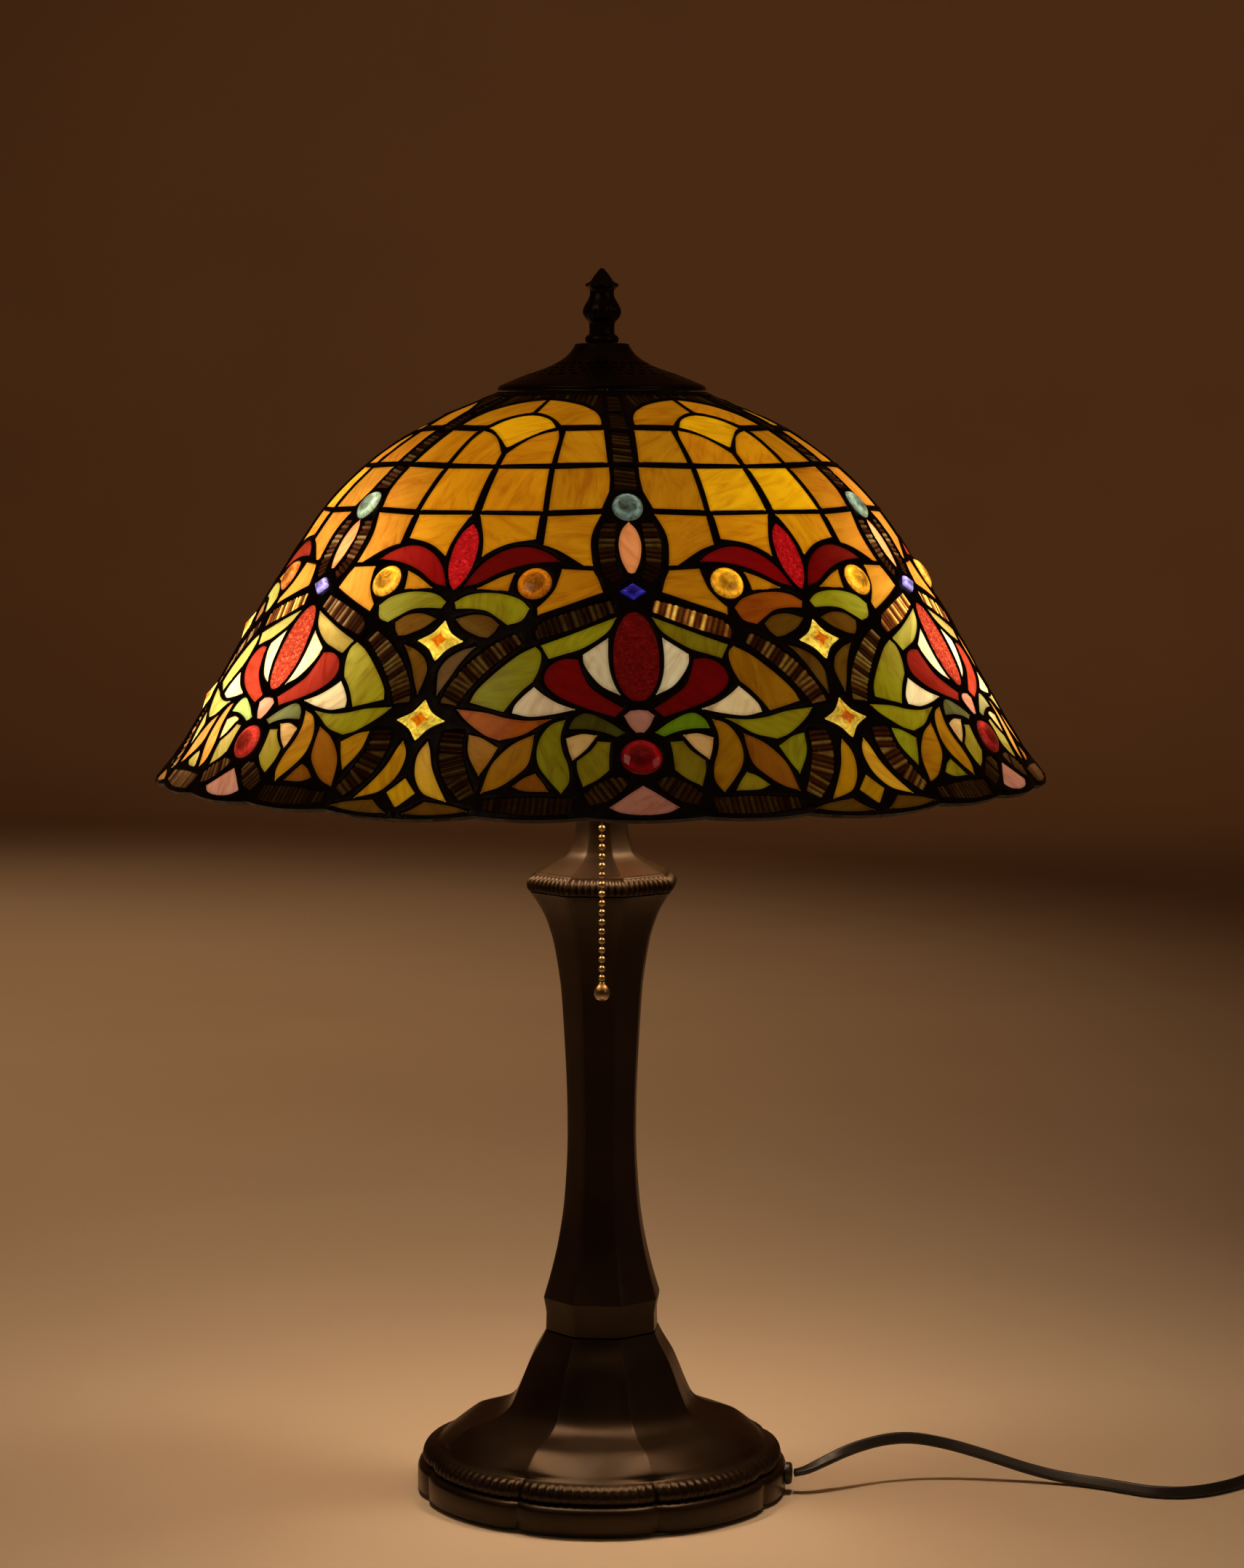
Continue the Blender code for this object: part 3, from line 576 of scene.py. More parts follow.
def plug_sections():
    """Places along the plug with its half width and half height: a ribbed relief, a body and grip ridges."""
    relief, grip = [], []
    for k in range(9):
        rib = k % 2
        relief.append((0.0003 + 0.0009 * k, 0.0043 + 0.0005 * rib + 0.0001 * k, 0.0031 + 0.0004 * rib))
    for k in range(11):
        grip.append((0.0160 + 0.0008 * k, 0.0120 - 0.0004 * (k % 2), 0.0052 - 0.0004 * (k % 2)))
    return [*relief, *PLUG_BODY, *grip, *PLUG_FACE]


def make_plug():
    """The moulded plug's body, with a rounded square section. Its two blades come from the frame."""
    points = []
    sections = plug_sections()
    for along, half_width, half_height in sections:
        for step in range(PLUG_STEPS):
            angle = 2 * math.pi * step / PLUG_STEPS
            cos, sin = math.cos(angle), math.sin(angle)
            square = (abs(cos) ** 4 + abs(sin) ** 4) ** 0.25
            points.append((along, half_width * cos / square, half_height * sin / square))
    body = sharpen(new_object("moulded_plug", points, tube_faces(len(sections), PLUG_STEPS), PLASTIC), 50.0)
    body.location = tail_point(PLUG_START, PLUG_HEIGHT)
    body.rotation_euler.z = math.radians(TAIL_HEADING)
    return place(body, "stand", "black_plastic", "plug_body")


BUSHING_OUTLINE = (
    (0.0030, 0.0142), (0.0040, 0.0141), (0.0048, 0.0137), (0.0052, 0.0130), (0.0053, 0.0121),
    (0.0053, 0.0113), (0.0034, 0.0113), (0.0034, 0.0060), (0.0026, 0.0060), (0.0026, 0.0136),
    (0.0027, 0.0140),
)
BUSHING_RADIUS = 0.0763


def make_bushing():
    """The flanged bushing where the lead leaves the foot, flared towards the lead."""
    bushing = turned("lead_bushing", BUSHING_OUTLINE, PLASTIC, 40, ring=True)
    bushing.location = around(BUSHING_RADIUS, BUSHING_ANGLE, BUSHING_Z)
    bushing.rotation_euler = (math.radians(90), 0.0, math.radians(BUSHING_ANGLE))
    place(bushing, "stand", "black_plastic", "cord_bushing")


def make_cord_set():
    """The lead with its plug and bushing."""
    lead, line = make_lead()
    plug = make_plug()
    make_bushing()
    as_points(line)


# ---------------------------------------------------------------- the dome and its pattern

SHADE_OUTLINE = (
    (0.0480, 0.5170), (0.0757, 0.5055), (0.0933, 0.4957), (0.1107, 0.4825), (0.1270, 0.4660),
    (0.1434, 0.4426), (0.1608, 0.4145), (0.1777, 0.3844), (0.1948, 0.3553), (0.2080, 0.3384),
)
HALF_SECTOR = 180.0 / SECTORS
RIM_ARC = 243.2
RIM_BULGES = ((0.0, 7.0, 1.6), (13.5, 6.5, 1.6), (30.0, 10.0, 3.0))
STAR_WAIST = 0.40
S = "smooth"


def shade_rows():
    """Arc length, in millimetres, and the place of points close together along the dome's outline."""
    spots = smooth_points([(radius, 0.0, height) for radius, height in SHADE_OUTLINE], 12)
    total, rows = 0.0, [(0.0, spots[0])]
    for before, spot in zip(spots, spots[1:]):
        total += (spot - before).length / MM
        rows.append((total, spot))
    return rows


SHADE_ROWS = shade_rows()
SHADE_ARCS = [arc for arc, _ in SHADE_ROWS]


def dome(degrees, arc, depth=0.0):
    """A point of the dome: degrees from the front rib, millimetres from the crown and under the outside."""
    row = min(max(bisect_left(SHADE_ARCS, arc), 1), len(SHADE_ROWS) - 1)
    (low, start), (high, end) = SHADE_ROWS[row - 1], SHADE_ROWS[row]
    along = (end - start).normalized()
    spot = start + (end - start) * ((arc - low) / (high - low))
    spot -= Vector((-along.z, 0.0, along.x)) * (depth * MM)
    return around(spot.x, degrees + SHADE_TURN, spot.z)


def stretch(arc):
    """Millimetres round the dome for one degree, at an arc."""
    return dome(0.0, arc).xy.length * math.radians(1.0) / MM


def rim_arc(degrees):
    """The scalloped rim: one bulge under each rib, one beside it and a wide one between two ribs."""
    for centre, half_width, bulge in RIM_BULGES:
        if abs(degrees - centre) <= half_width:
            return RIM_ARC + bulge * (1.0 - ((degrees - centre) / half_width) ** 2)
    return RIM_ARC


def apart(first, second):
    """The distance in millimetres between two places on the dome."""
    across = (first[0] - second[0]) * stretch((first[1] + second[1]) / 2)
    return math.hypot(across, first[1] - second[1])


def flat_span(before, start, end, after, step):
    """Places along one span of an outline, a step or so apart, without its last place."""
    count = max(1, round(apart(start, end) / step))
    places = [Vector((*place[:2], 0.0)) for place in (before, start, end, after)]
    return [span_point(*places, k / count)[:2] for k in range(count)]


def run_points(run, step):
    """The curve through a run of places from one corner to the next, without its last place."""
    ends = [(2 * run[k][0] - run[j][0], 2 * run[k][1] - run[j][1]) for k, j in ((0, 1), (-1, -2))]
    padded = [ends[0], *run, ends[1]]
    found = []
    for quad in zip(padded, padded[1:], padded[2:], padded[3:]):
        found += flat_span(*quad, step)
    return found


def outline_points(places, step, closed=True):
    """Places along an outline, which passes smoothly those marked S and has corners at the others."""
    first = next(k for k, place in enumerate(places) if len(place) == 2)
    ordered = [*places[first:], *places[: first + 1]] if closed else list(places)
    found, run = [], [ordered[0]]
    for place in ordered[1:]:
        run.append(place)
        if len(place) == 2:
            found += run_points(run, step)
            run = [place]
    return found if closed else [*found, ordered[-1]]


def oval_points(centre, half_width, half_height, step):
    """Places round an oval whose halves are in degrees and millimetres; the count divides by four."""
    girth = 2 * math.pi * math.sqrt((half_height**2 + (half_width * stretch(centre[1])) ** 2) / 2)
    count = 4 * max(3, round(girth / step / 4))
    turns = [2 * math.pi * k / count for k in range(count)]
    return [(centre[0] + half_width * math.sin(a), centre[1] - half_height * math.cos(a)) for a in turns]


def star_points(centre, half_width, half_height, step):
    """A four-pointed star with sides that curve in a little."""
    places = []
    for turn in range(0, 360, 90):
        for share, angle, marks in ((1.0, turn, ()), (STAR_WAIST * math.sqrt(2), turn + 45, (S,))):
            x, y = share * math.sin(math.radians(angle)), -share * math.cos(math.radians(angle))
            places.append((centre[0] + half_width * x, centre[1] + half_height * y, *marks))
    return outline_points(places, step)


class Piece:
    """One piece of the pattern: its family, its tint right and left of a rib, and its outline."""

    def __init__(self, name, family, right, left, shape, seat="side", ridge=None, shine=(1.0, 1.0)):
        """The seat is side, or rib or fleur for a piece that is centred on the rib or midway between two. Its
        shine is painted light: how brightly the piece is painted lit, right and left of a rib.
        """
        self.name, self.family, self.tints, self.shape = name, family, (right, left), shape
        self.seat, self.ridge, self.shine = seat, ridge, shine

    def outline(self, step):
        """The whole closed outline."""
        if callable(self.shape):
            return self.shape(step)
        if self.seat == "side":
            return outline_points(self.shape, step)
        half = self.half(step)
        axis = 0.0 if self.seat == "rib" else HALF_SECTOR
        return [*half, *[(2 * axis - degrees, arc) for degrees, arc in half[-2:0:-1]]]

    def half(self, step):
        """The outline's part in the half sector: closed for a side piece, otherwise from axis to axis."""
        if self.seat == "side":
            return self.outline(step)
        if not callable(self.shape):
            return outline_points(self.shape, step, closed=False)
        whole = self.shape(step)
        count = len(whole)
        if self.seat == "rib":
            return whole[: count // 2 + 1]
        return [whole[0], *whole[: count // 2 - 1 : -1]]


def oval(centre, half_width, half_height):
    """A shape for a piece: an oval, sampled at the step that is asked for."""
    return lambda step: oval_points(centre, half_width, half_height, step)


def star(centre, half_width, half_height):
    """A shape for a piece: a four-pointed star, sampled in the same way."""
    return lambda step: star_points(centre, half_width, half_height, step)


# Glass tints as they show lit from behind. The three ambers are one amber painted in shade, in half light and
# lit; the two whites are one white unlit and lit; the reds are one red unlit and lit.
AMBER_SHADED = (0.36, 0.130, 0.002)
AMBER = (0.46, 0.168, 0.002)
AMBER_LIT = (0.58, 0.255, 0.002)
RED = (0.085, 0.0008, 0.0008)
RED_LIT = (0.17, 0.0015, 0.002)
RUBY_LIT = (0.32, 0.003, 0.004)
WHITE = (0.50, 0.37, 0.19)
WHITE_LIT = (0.62, 0.45, 0.21)
CREAM = (0.42, 0.24, 0.07)
LIME = (0.17, 0.14, 0.003)
OLIVE = (0.15, 0.105, 0.003)
OLIVE_DARK = (0.085, 0.034, 0.002)
GREEN = (0.075, 0.125, 0.002)
GREEN_DARK = (0.030, 0.026, 0.002)
ORANGE = (0.24, 0.045, 0.002)
HONEY = (0.24, 0.095, 0.002)
BROWN_AMBER = (0.16, 0.045, 0.002)
BUTTER = (0.46, 0.215, 0.010)
YELLOW = (0.36, 0.165, 0.002)
PINK = (0.30, 0.112, 0.064)
PEACH = (0.56, 0.19, 0.054)
BLUE = (0.012, 0.009, 0.16)
TEAL = (0.10, 0.15, 0.11)
RIBBED = (0.70, 0.42, 0.06)

PATTERN = [
    Piece("arch_band", "window", AMBER_SHADED, AMBER_SHADED, (
        (5.2, 37.4), (5.6, 31.0, S), (7.0, 25.0, S), (9.0, 21.0, S), (12.0, 17.0, S), (16.0, 14.0, S),
        (21.0, 11.5, S), (25.5, 10.1, S), (29.0, 9.5), (29.0, 24.8), (26.0, 26.1, S), (22.5, 29.3, S),
        (19.8, 33.0, S), (17.3, 38.0),
    )),
    Piece("arch_lamp", "window", AMBER_LIT, AMBER_LIT, (
        (30.0, 27.4), (27.0, 28.2, S), (24.0, 30.3, S), (21.3, 33.9, S), (18.9, 40.2), (21.5, 42.3, S),
        (24.3, 46.0, S), (27.0, 50.6, S), (30.0, 56.6),
    ), "fleur"),
    Piece("upper_pane", "window", AMBER_SHADED, AMBER_SHADED, (
        (4.6, 42.2), (15.4, 43.1), (15.4, 67.3), (3.75, 66.7),
    )),
    Piece("upper_side_pane", "window", AMBER, AMBER, (
        (17.8, 42.8), (20.8, 44.4, S), (24.0, 48.0, S), (26.9, 54.0, S), (29.2, 60.8), (29.2, 68.4),
        (16.9, 67.6), (16.9, 50.0, S),
    )),
    Piece("middle_pane", "window", AMBER_SHADED, AMBER_SHADED, (
        (3.5, 70.2), (15.6, 71.4), (15.3, 96.0), (5.1, 95.0), (3.6, 85.3), (3.35, 77.0, S),
    )),
    Piece("middle_side_pane", "window", AMBER_LIT, AMBER, (
        (17.1, 71.2), (29.1, 71.2), (29.0, 96.3), (16.6, 96.3),
    )),
    Piece("lower_pane", "window", AMBER_SHADED, AMBER_SHADED, (
        (5.2, 98.3), (15.3, 99.4), (15.4, 113.9), (13.0, 116.2, S), (11.0, 119.1, S), (8.0, 124.3),
        (6.6, 124.3), (7.05, 114.0, S), (6.7, 107.0, S),
    )),
    Piece("lower_side_pane", "window", AMBER, AMBER, (
        (17.0, 99.1), (29.0, 98.8), (27.4, 108.0, S), (26.7, 114.0, S), (26.4, 120.0), (23.8, 115.6, S),
        (21.0, 112.9, S), (17.1, 111.2),
    )),
    Piece("shoulder_pane", "window", AMBER_SHADED, AMBER_SHADED, (
        (6.5, 127.0), (11.7, 126.2), (12.1, 131.0, S), (12.7, 136.5, S), (14.0, 141.6, S), (15.2, 145.2),
        (15.0, 148.4), (4.9, 137.4), (5.6, 131.5, S),
    )),
    Piece("shoulder_wedge", "window", AMBER_SHADED, AMBER_SHADED, (
        (19.9, 128.2), (22.2, 130.6, S), (25.8, 136.1), (20.5, 136.9), (20.2, 132.0, S),
    )),
    Piece("fleur_petal", "flower", RED_LIT, RED, (
        (12.2, 122.4), (14.0, 118.9, S), (17.0, 115.8, S), (19.9, 115.4, S), (22.5, 117.4, S),
        (24.9, 121.3, S), (26.8, 127.0, S), (28.3, 135.2), (25.8, 133.3, S), (22.6, 128.2, S),
        (19.6, 125.0, S), (16.2, 123.0, S),
    )),
    Piece("fleur_heart", "hammered", RUBY_LIT, RED, (
        (30.0, 103.6), (28.6, 107.6, S), (27.8, 113.0, S), (27.6, 119.0, S), (27.8, 126.0, S),
        (28.7, 132.5, S), (30.0, 137.4),
    ), "fleur"),
    Piece("cloud_leaf", "flower", ORANGE, LIME, (
        (16.5, 145.5), (18.2, 141.3, S), (21.3, 138.7, S), (24.7, 138.3, S), (27.4, 139.8, S),
        (29.2, 143.0), (28.7, 146.0), (26.0, 145.8, S), (23.4, 146.8, S), (21.4, 150.0, S), (19.6, 153.4),
        (17.5, 151.3, S),
    )),
    Piece("cloud_shadow", "flower", OLIVE_DARK, OLIVE_DARK, (
        (21.0, 153.4), (22.8, 149.8, S), (25.5, 148.9, S), (28.3, 151.2), (26.4, 155.8, S), (23.8, 159.2),
        (22.4, 159.7), (21.5, 156.8, S),
    )),
    Piece("star_blade", "flower", OLIVE_DARK, OLIVE_DARK, (
        (24.1, 164.2), (26.0, 166.0, S), (28.0, 170.0, S), (29.0, 175.5, S), (28.9, 180.5, S),
        (28.5, 187.0), (27.4, 180.5, S), (26.3, 173.5, S), (25.2, 168.3, S),
    )),
    # The ribbed pieces' shine values are painted light: brightly lit on one side of a rib and in shade on the
    # other, and dark near the crown.
    Piece("shoulder_band", "ribbed", RIBBED, RIBBED, (
        (3.4, 141.6), (8.8, 146.2, S), (13.9, 151.6), (15.1, 156.0, S), (14.7, 160.0), (8.8, 154.4, S),
        (3.0, 147.0),
    ), ridge=((3.2, 144.3), (14.9, 157.2)), shine=(1.0, 0.05)),
    Piece("falling_band", "ribbed", RIBBED, RIBBED, (
        (17.9, 158.0), (20.2, 161.3, S), (22.9, 167.5, S), (25.4, 175.5, S), (27.0, 184.0, S),
        (27.5, 190.5), (25.2, 191.5), (24.0, 184.5, S), (22.2, 177.0, S), (20.0, 170.0, S), (17.1, 162.2),
    ), ridge=((17.4, 160.0), (20.0, 165.6), (22.6, 172.3), (24.8, 180.0), (26.4, 191.0)),
        shine=(0.20, 0.07)),
    Piece("long_leg", "ribbed", RIBBED, RIBBED, (
        (23.4, 203.5), (26.0, 204.2), (26.2, 211.0, S), (25.7, 219.0, S), (24.6, 227.0, S), (22.1, 236.0),
        (20.6, 232.5), (22.1, 222.5, S), (23.2, 212.5, S),
    ), ridge=((24.7, 203.8), (24.6, 215.0), (23.3, 226.0), (21.3, 234.4)), shine=(0.20, 0.05)),
    Piece("rim_bar", "ribbed", RIBBED, RIBBED, (
        (8.3, 234.6), (13.2, 234.1, S), (19.2, 235.6), (19.5, 240.0), (14.0, 242.4, S), (8.8, 241.7),
    ), ridge=((8.4, 238.2), (14.0, 238.3), (19.4, 237.8)), shine=(0.04, 0.02)),
    Piece("fan_side", "ribbed", RIBBED, RIBBED, (
        (1.5, 224.9), (3.7, 224.1), (5.6, 227.5, S), (7.1, 232.3), (6.3, 237.2), (4.6, 235.6, S),
        (2.7, 230.6, S),
    ), ridge=((2.3, 224.5), (4.6, 230.2), (6.7, 235.4)), shine=(0.04, 0.04)),
    Piece("stem_side", "ribbed", RIBBED, RIBBED, (
        (2.6, 103.4), (4.2, 102.0), (5.2, 107.0, S), (5.5, 114.5, S), (5.2, 122.0, S), (4.4, 129.5),
        (2.9, 133.4), (1.8, 130.4), (2.6, 124.0, S), (2.85, 116.0, S), (2.65, 109.0, S),
    ), ridge=((3.4, 102.6), (4.1, 115.0), (3.9, 124.0), (2.5, 132.6)), shine=(0.07, 0.05)),
    Piece("crown_side", "ribbed", RIBBED, RIBBED, (
        (28.4, 4.2), (28.4, 6.6), (21.0, 8.7, S), (16.0, 11.0, S), (12.0, 13.7, S), (8.8, 17.3, S),
        (6.2, 22.5, S), (4.2, 29.5), (4.6, 4.4),
    ), ridge=((4.4, 9.0), (28.4, 9.0)), shine=(0.02, 0.02)),
    Piece("rib_top_tile", "ribbed", RIBBED, RIBBED, (
        (0.0, 5.5), (2.6, 5.5), (2.4, 23.0), (0.0, 23.0),
    ), "rib", ((0.0, 5.5), (0.0, 23.0)), (0.01, 0.01)),
    Piece("rib_high_tile", "ribbed", RIBBED, RIBBED, (
        (0.0, 25.8), (2.4, 25.8), (2.2, 41.4), (0.0, 41.4),
    ), "rib", ((0.0, 25.8), (0.0, 41.4)), (0.02, 0.02)),
    Piece("rib_middle_tile", "ribbed", RIBBED, RIBBED, (
        (0.0, 44.2), (2.2, 44.2), (2.2, 66.6), (0.0, 66.6),
    ), "rib", ((0.0, 44.2), (0.0, 66.6)), (0.05, 0.05)),
    Piece("rib_low_tile", "ribbed", RIBBED, RIBBED, (
        (0.0, 69.6), (2.2, 69.6), (2.2, 84.2), (0.0, 84.2),
    ), "rib", ((0.0, 69.6), (0.0, 84.2)), (0.05, 0.05)),
    Piece("stem_oval", "flower", PEACH, PEACH, (
        (0.0, 102.4), (1.2, 106.0, S), (1.85, 111.0, S), (1.95, 115.5, S), (1.5, 122.0, S), (0.5, 127.8, S),
        (0.0, 128.6),
    ), "rib"),
    Piece("petal_bar", "flower", OLIVE, LIME, (
        (2.8, 149.7), (6.5, 154.1, S), (10.4, 158.9, S), (14.0, 163.1), (12.7, 169.2), (10.5, 167.0, S),
        (7.7, 163.9, S), (4.3, 156.8, S),
    )),
    Piece("heart_wisp", "flower", WHITE, WHITE, (
        (4.1, 159.6), (7.7, 167.3), (7.6, 171.0, S), (6.6, 176.3, S), (4.9, 182.0, S), (2.5, 185.9),
        (3.25, 181.5, S), (3.9, 175.0, S), (4.15, 167.5, S),
    )),
    Piece("heart", "hammered", RED, RED, oval((0.0, 168.0), 3.35, 20.8), "rib"),
    Piece("wide_petal", "flower", RED, RED, (
        (8.5, 169.6), (10.5, 169.5, S), (12.2, 172.0, S), (13.1, 176.5, S), (12.8, 181.5, S),
        (10.7, 187.0, S), (7.2, 191.9, S), (3.3, 196.0), (2.1, 192.3), (4.6, 187.3, S), (6.7, 182.2, S),
        (7.7, 176.5, S),
    )),
    Piece("wide_leaf", "flower", HONEY, LIME, (
        (14.9, 163.9), (17.3, 168.0, S), (20.3, 176.2, S), (22.6, 184.5, S), (23.3, 190.0), (18.4, 194.1),
        (17.3, 188.6, S), (16.2, 184.2, S), (14.8, 180.0), (14.15, 175.0, S), (13.85, 169.5, S),
        (14.1, 166.0, S),
    )),
    Piece("white_fin", "flower", WHITE_LIT, WHITE, (
        (14.5, 182.6), (15.9, 187.0, S), (16.9, 191.3, S), (17.1, 194.6), (14.6, 196.1, S),
        (11.5, 194.8, S), (8.7, 192.7), (11.0, 190.0, S), (13.0, 186.3, S),
    )),
    Piece("spread_leaf", "flower", LIME, ORANGE, (
        (11.8, 197.3), (14.8, 198.2, S), (17.8, 197.2, S), (20.8, 194.9, S), (25.0, 193.5),
        (23.4, 198.5, S), (20.5, 204.9, S), (18.4, 207.3), (15.5, 204.7, S), (13.4, 200.4, S),
    )),
    Piece("shield", "flower", PINK, PINK, (
        (0.0, 193.0), (1.2, 193.4), (2.0, 195.6), (1.3, 200.2, S), (0.5, 203.3), (0.0, 203.4),
    ), "rib"),
    Piece("inner_leaf", "flower", GREEN, GREEN_DARK, (
        (2.0, 203.4), (4.0, 198.8, S), (6.4, 195.0, S), (7.8, 195.0, S), (8.9, 198.0, S), (9.3, 201.6),
        (6.8, 201.7, S), (4.6, 203.2, S), (3.1, 205.2),
    )),
    Piece("cream_chip", "flower", CREAM, CREAM, (
        (5.7, 204.8), (7.6, 204.1, S), (9.6, 206.1), (9.25, 211.0, S), (8.7, 216.0), (7.1, 211.2, S),
    )),
    Piece("olive_chip", "flower", OLIVE, OLIVE, (
        (3.9, 207.9), (5.5, 207.5), (6.4, 211.7, S), (8.1, 216.5), (8.0, 221.0, S), (7.25, 228.2),
        (5.6, 225.0, S), (4.15, 220.6), (4.1, 213.4, S),
    )),
    Piece("upright_leaf", "flower", HONEY, LIME, (
        (9.9, 197.6), (11.7, 199.9, S), (12.9, 205.5, S), (13.3, 212.0, S), (12.9, 218.6, S),
        (11.6, 224.8, S), (9.9, 231.5), (9.05, 226.0, S), (9.25, 218.8, S), (10.05, 212.0, S),
        (10.4, 205.0, S),
    )),
    Piece("leaning_leaf", "flower", BROWN_AMBER, HONEY, (
        (13.9, 204.6), (16.2, 208.5, S), (17.9, 213.8, S), (19.1, 220.5, S), (19.7, 232.0),
        (17.6, 229.0, S), (15.8, 224.0, S), (14.4, 218.5, S), (14.0, 211.0, S),
    )),
    Piece("lime_chip", "flower", OLIVE, BROWN_AMBER, (
        (13.3, 222.5), (14.6, 224.6, S), (15.9, 228.6), (14.4, 230.6, S), (11.5, 230.8), (12.3, 226.5, S),
    )),
    Piece("kite_chip", "flower", LIME, HONEY, (
        (18.5, 210.8), (20.8, 206.6, S), (22.6, 205.2), (22.2, 214.0, S), (20.4, 223.8), (19.4, 217.6, S),
    )),
    Piece("butter_leaf", "flower", YELLOW, BUTTER, (
        (28.2, 209.0), (29.0, 213.7, S), (29.15, 219.0, S), (28.6, 226.0, S), (27.2, 232.4, S),
        (25.6, 235.0, S), (23.8, 236.8), (25.4, 228.8, S), (26.8, 220.7, S), (27.6, 213.0, S),
    )),
    Piece("rim_diamond", "flower", YELLOW, YELLOW, ((30.0, 226.3), (28.1, 233.3), (30.0, 240.8)), "fleur"),
    Piece("rim_leaf", "flower", OLIVE_DARK, OLIVE_DARK, (
        (20.9, 241.2), (23.0, 239.0, S), (26.5, 237.3), (27.8, 241.2, S), (28.9, 243.6), (26.3, 243.8, S),
        (23.5, 243.0, S),
    )),
    Piece("rim_fan", "flower", PINK, PINK, (
        (0.0, 228.0), (1.4, 231.2, S), (2.8, 235.0, S), (4.1, 238.5), (2.6, 241.2, S), (0.0, 242.4),
    ), "rib"),
    # Painted light: the right tint is this amber painted lit and the left one the same amber in shade.
    Piece("amber_cabochon", "jewel", (0.62, 0.25, 0.008), (0.28, 0.07, 0.002),
        oval((16.1, 133.6), 2.75, 7.3)),
    Piece("teal_cabochon", "jewel", TEAL, TEAL, oval((0.0, 94.5), 2.85, 7.2), "rib"),
    Piece("ruby_cabochon", "jewel", (0.11, 0.001, 0.002), (0.11, 0.001, 0.002),
        oval((0.0, 215.0), 2.55, 7.8), "rib"),
    Piece("blue_square", "jewel", BLUE, BLUE, ((0.0, 133.8), (1.95, 137.5), (0.0, 141.3)), "rib"),
    Piece("upper_star", "star", YELLOW, YELLOW, star((30.0, 161.8), 3.7, 9.6), "fleur"),
    Piece("lower_star", "star", YELLOW, YELLOW, star((30.0, 199.2), 3.5, 9.5), "fleur"),
]


# ---------------------------------------------------------------- laying out, offsetting and triangulating

GLASS_LAP = 0.8
GLASS_OUTER = 0.8
GLASS_INNER = 3.4
CAME_EDGE = 1.0
CAME_CROWN = 1.1
CAME_ROUNDING = 1.5
LAYOUT_CENTRE = 15.0
GRID_ROW = 0.87
SHARPEST_MITRE = 0.45


def flat(place):
    """A place on the dome laid out flat, in millimetres."""
    return Vector(((place[0] - LAYOUT_CENTRE) * stretch(place[1]), place[1]))


def unflat(spot):
    """The place on the dome (degrees, arc) of a point of the flat layout."""
    return (spot[0] / stretch(spot[1]) + LAYOUT_CENTRE, spot[1])


def inside(spot, loop):
    """Whether a point lies inside a closed loop."""
    odd = False
    for (x1, y1), (x2, y2) in zip(loop, [*loop[1:], loop[0]]):
        if (y1 > spot[1]) != (y2 > spot[1]) and spot[0] < x1 + (x2 - x1) * (spot[1] - y1) / (y2 - y1):
            odd = not odd
    return odd


def loop_sign(loop):
    """1 for a loop that runs anticlockwise in the flat layout, otherwise -1."""
    area = sum(a[0] * b[1] - b[0] * a[1] for a, b in zip(loop, [*loop[1:], loop[0]]))
    return 1.0 if area > 0 else -1.0


def offset_loop(loop, amount):
    """A flat loop moved outwards by an amount in millimetres, or inwards by a negative one."""
    sign = loop_sign(loop)
    moved = []
    for before, spot, after in zip([loop[-1], *loop[:-1]], loop, [*loop[1:], loop[0]]):
        first, second = (spot - before).normalized(), (after - spot).normalized()
        middle = Vector((first.y + second.y, -first.x - second.x)) * sign
        moved.append(spot + middle.normalized() * (amount / max(SHARPEST_MITRE, middle.length / 2)))
    return moved


def box_of(places):
    """The lowest and highest first value and second value of some places."""
    firsts, seconds = [place[0] for place in places], [place[1] for place in places]
    return min(firsts), max(firsts), min(seconds), max(seconds)


def grid_spots(loop, spacing):
    """Points of a staggered grid over a flat loop's box."""
    low_x, high_x, low_y, high_y = box_of(loop)
    found = []
    for row in range(int((high_y - low_y) / (spacing * GRID_ROW)) + 1):
        x = low_x + spacing * (0.25 if row % 2 else 0.75)
        while x < high_x:
            found.append(Vector((x, low_y + spacing * GRID_ROW * (row + 0.5))))
            x += spacing
    return found


def near_tree(spots):
    """A search tree of flat points."""
    tree = KDTree(len(spots))
    for number, spot in enumerate(spots):
        tree.insert((spot[0], spot[1], 0.0), number)
    tree.balance()
    return tree


def nearest(tree, spot):
    """The distance from a flat point to a tree's nearest point."""
    return tree.find((spot[0], spot[1], 0.0))[2]


def dense(loop, step=0.4, closed=True):
    """A flat loop's points with others close together between them."""
    found = []
    ends = [*loop[1:], loop[0]] if closed else loop[1:]
    for start, end in zip(loop, ends):
        count = max(1, math.ceil((end - start).length / step))
        found += [start + (end - start) * (k / count) for k in range(count)]
    return found


def triangulate(lines, fill, keep):
    """Points and triangles of a flat layout with (line, closed) pairs and fill points, where keep(centre)."""
    spots, edges = [], []
    for line, closed in lines:
        first = len(spots)
        spots += line
        edges += [(first + k, first + k + 1) for k in range(len(line) - 1)]
        if closed:
            edges.append((len(spots) - 1, first))
    spots += fill
    found, _, triangles, *_ = delaunay_2d_cdt(spots, edges, [], 0, 1e-5, False)
    kept = [tri for tri in triangles if keep((found[tri[0]] + found[tri[1]] + found[tri[2]]) / 3)]
    used = sorted({number for tri in kept for number in tri})
    renumber = {old: new for new, old in enumerate(used)}
    return [found[old] for old in used], [tuple(renumber[number] for number in tri) for tri in kept]


def border_edges(triangles):
    """The edges that belong to one triangle only, in that triangle's direction."""
    seen = {}
    for tri in triangles:
        for start, end in zip(tri, (*tri[1:], tri[0])):
            seen.setdefault(frozenset((start, end)), []).append((start, end))
    return [uses[0] for uses in seen.values() if len(uses) == 1]


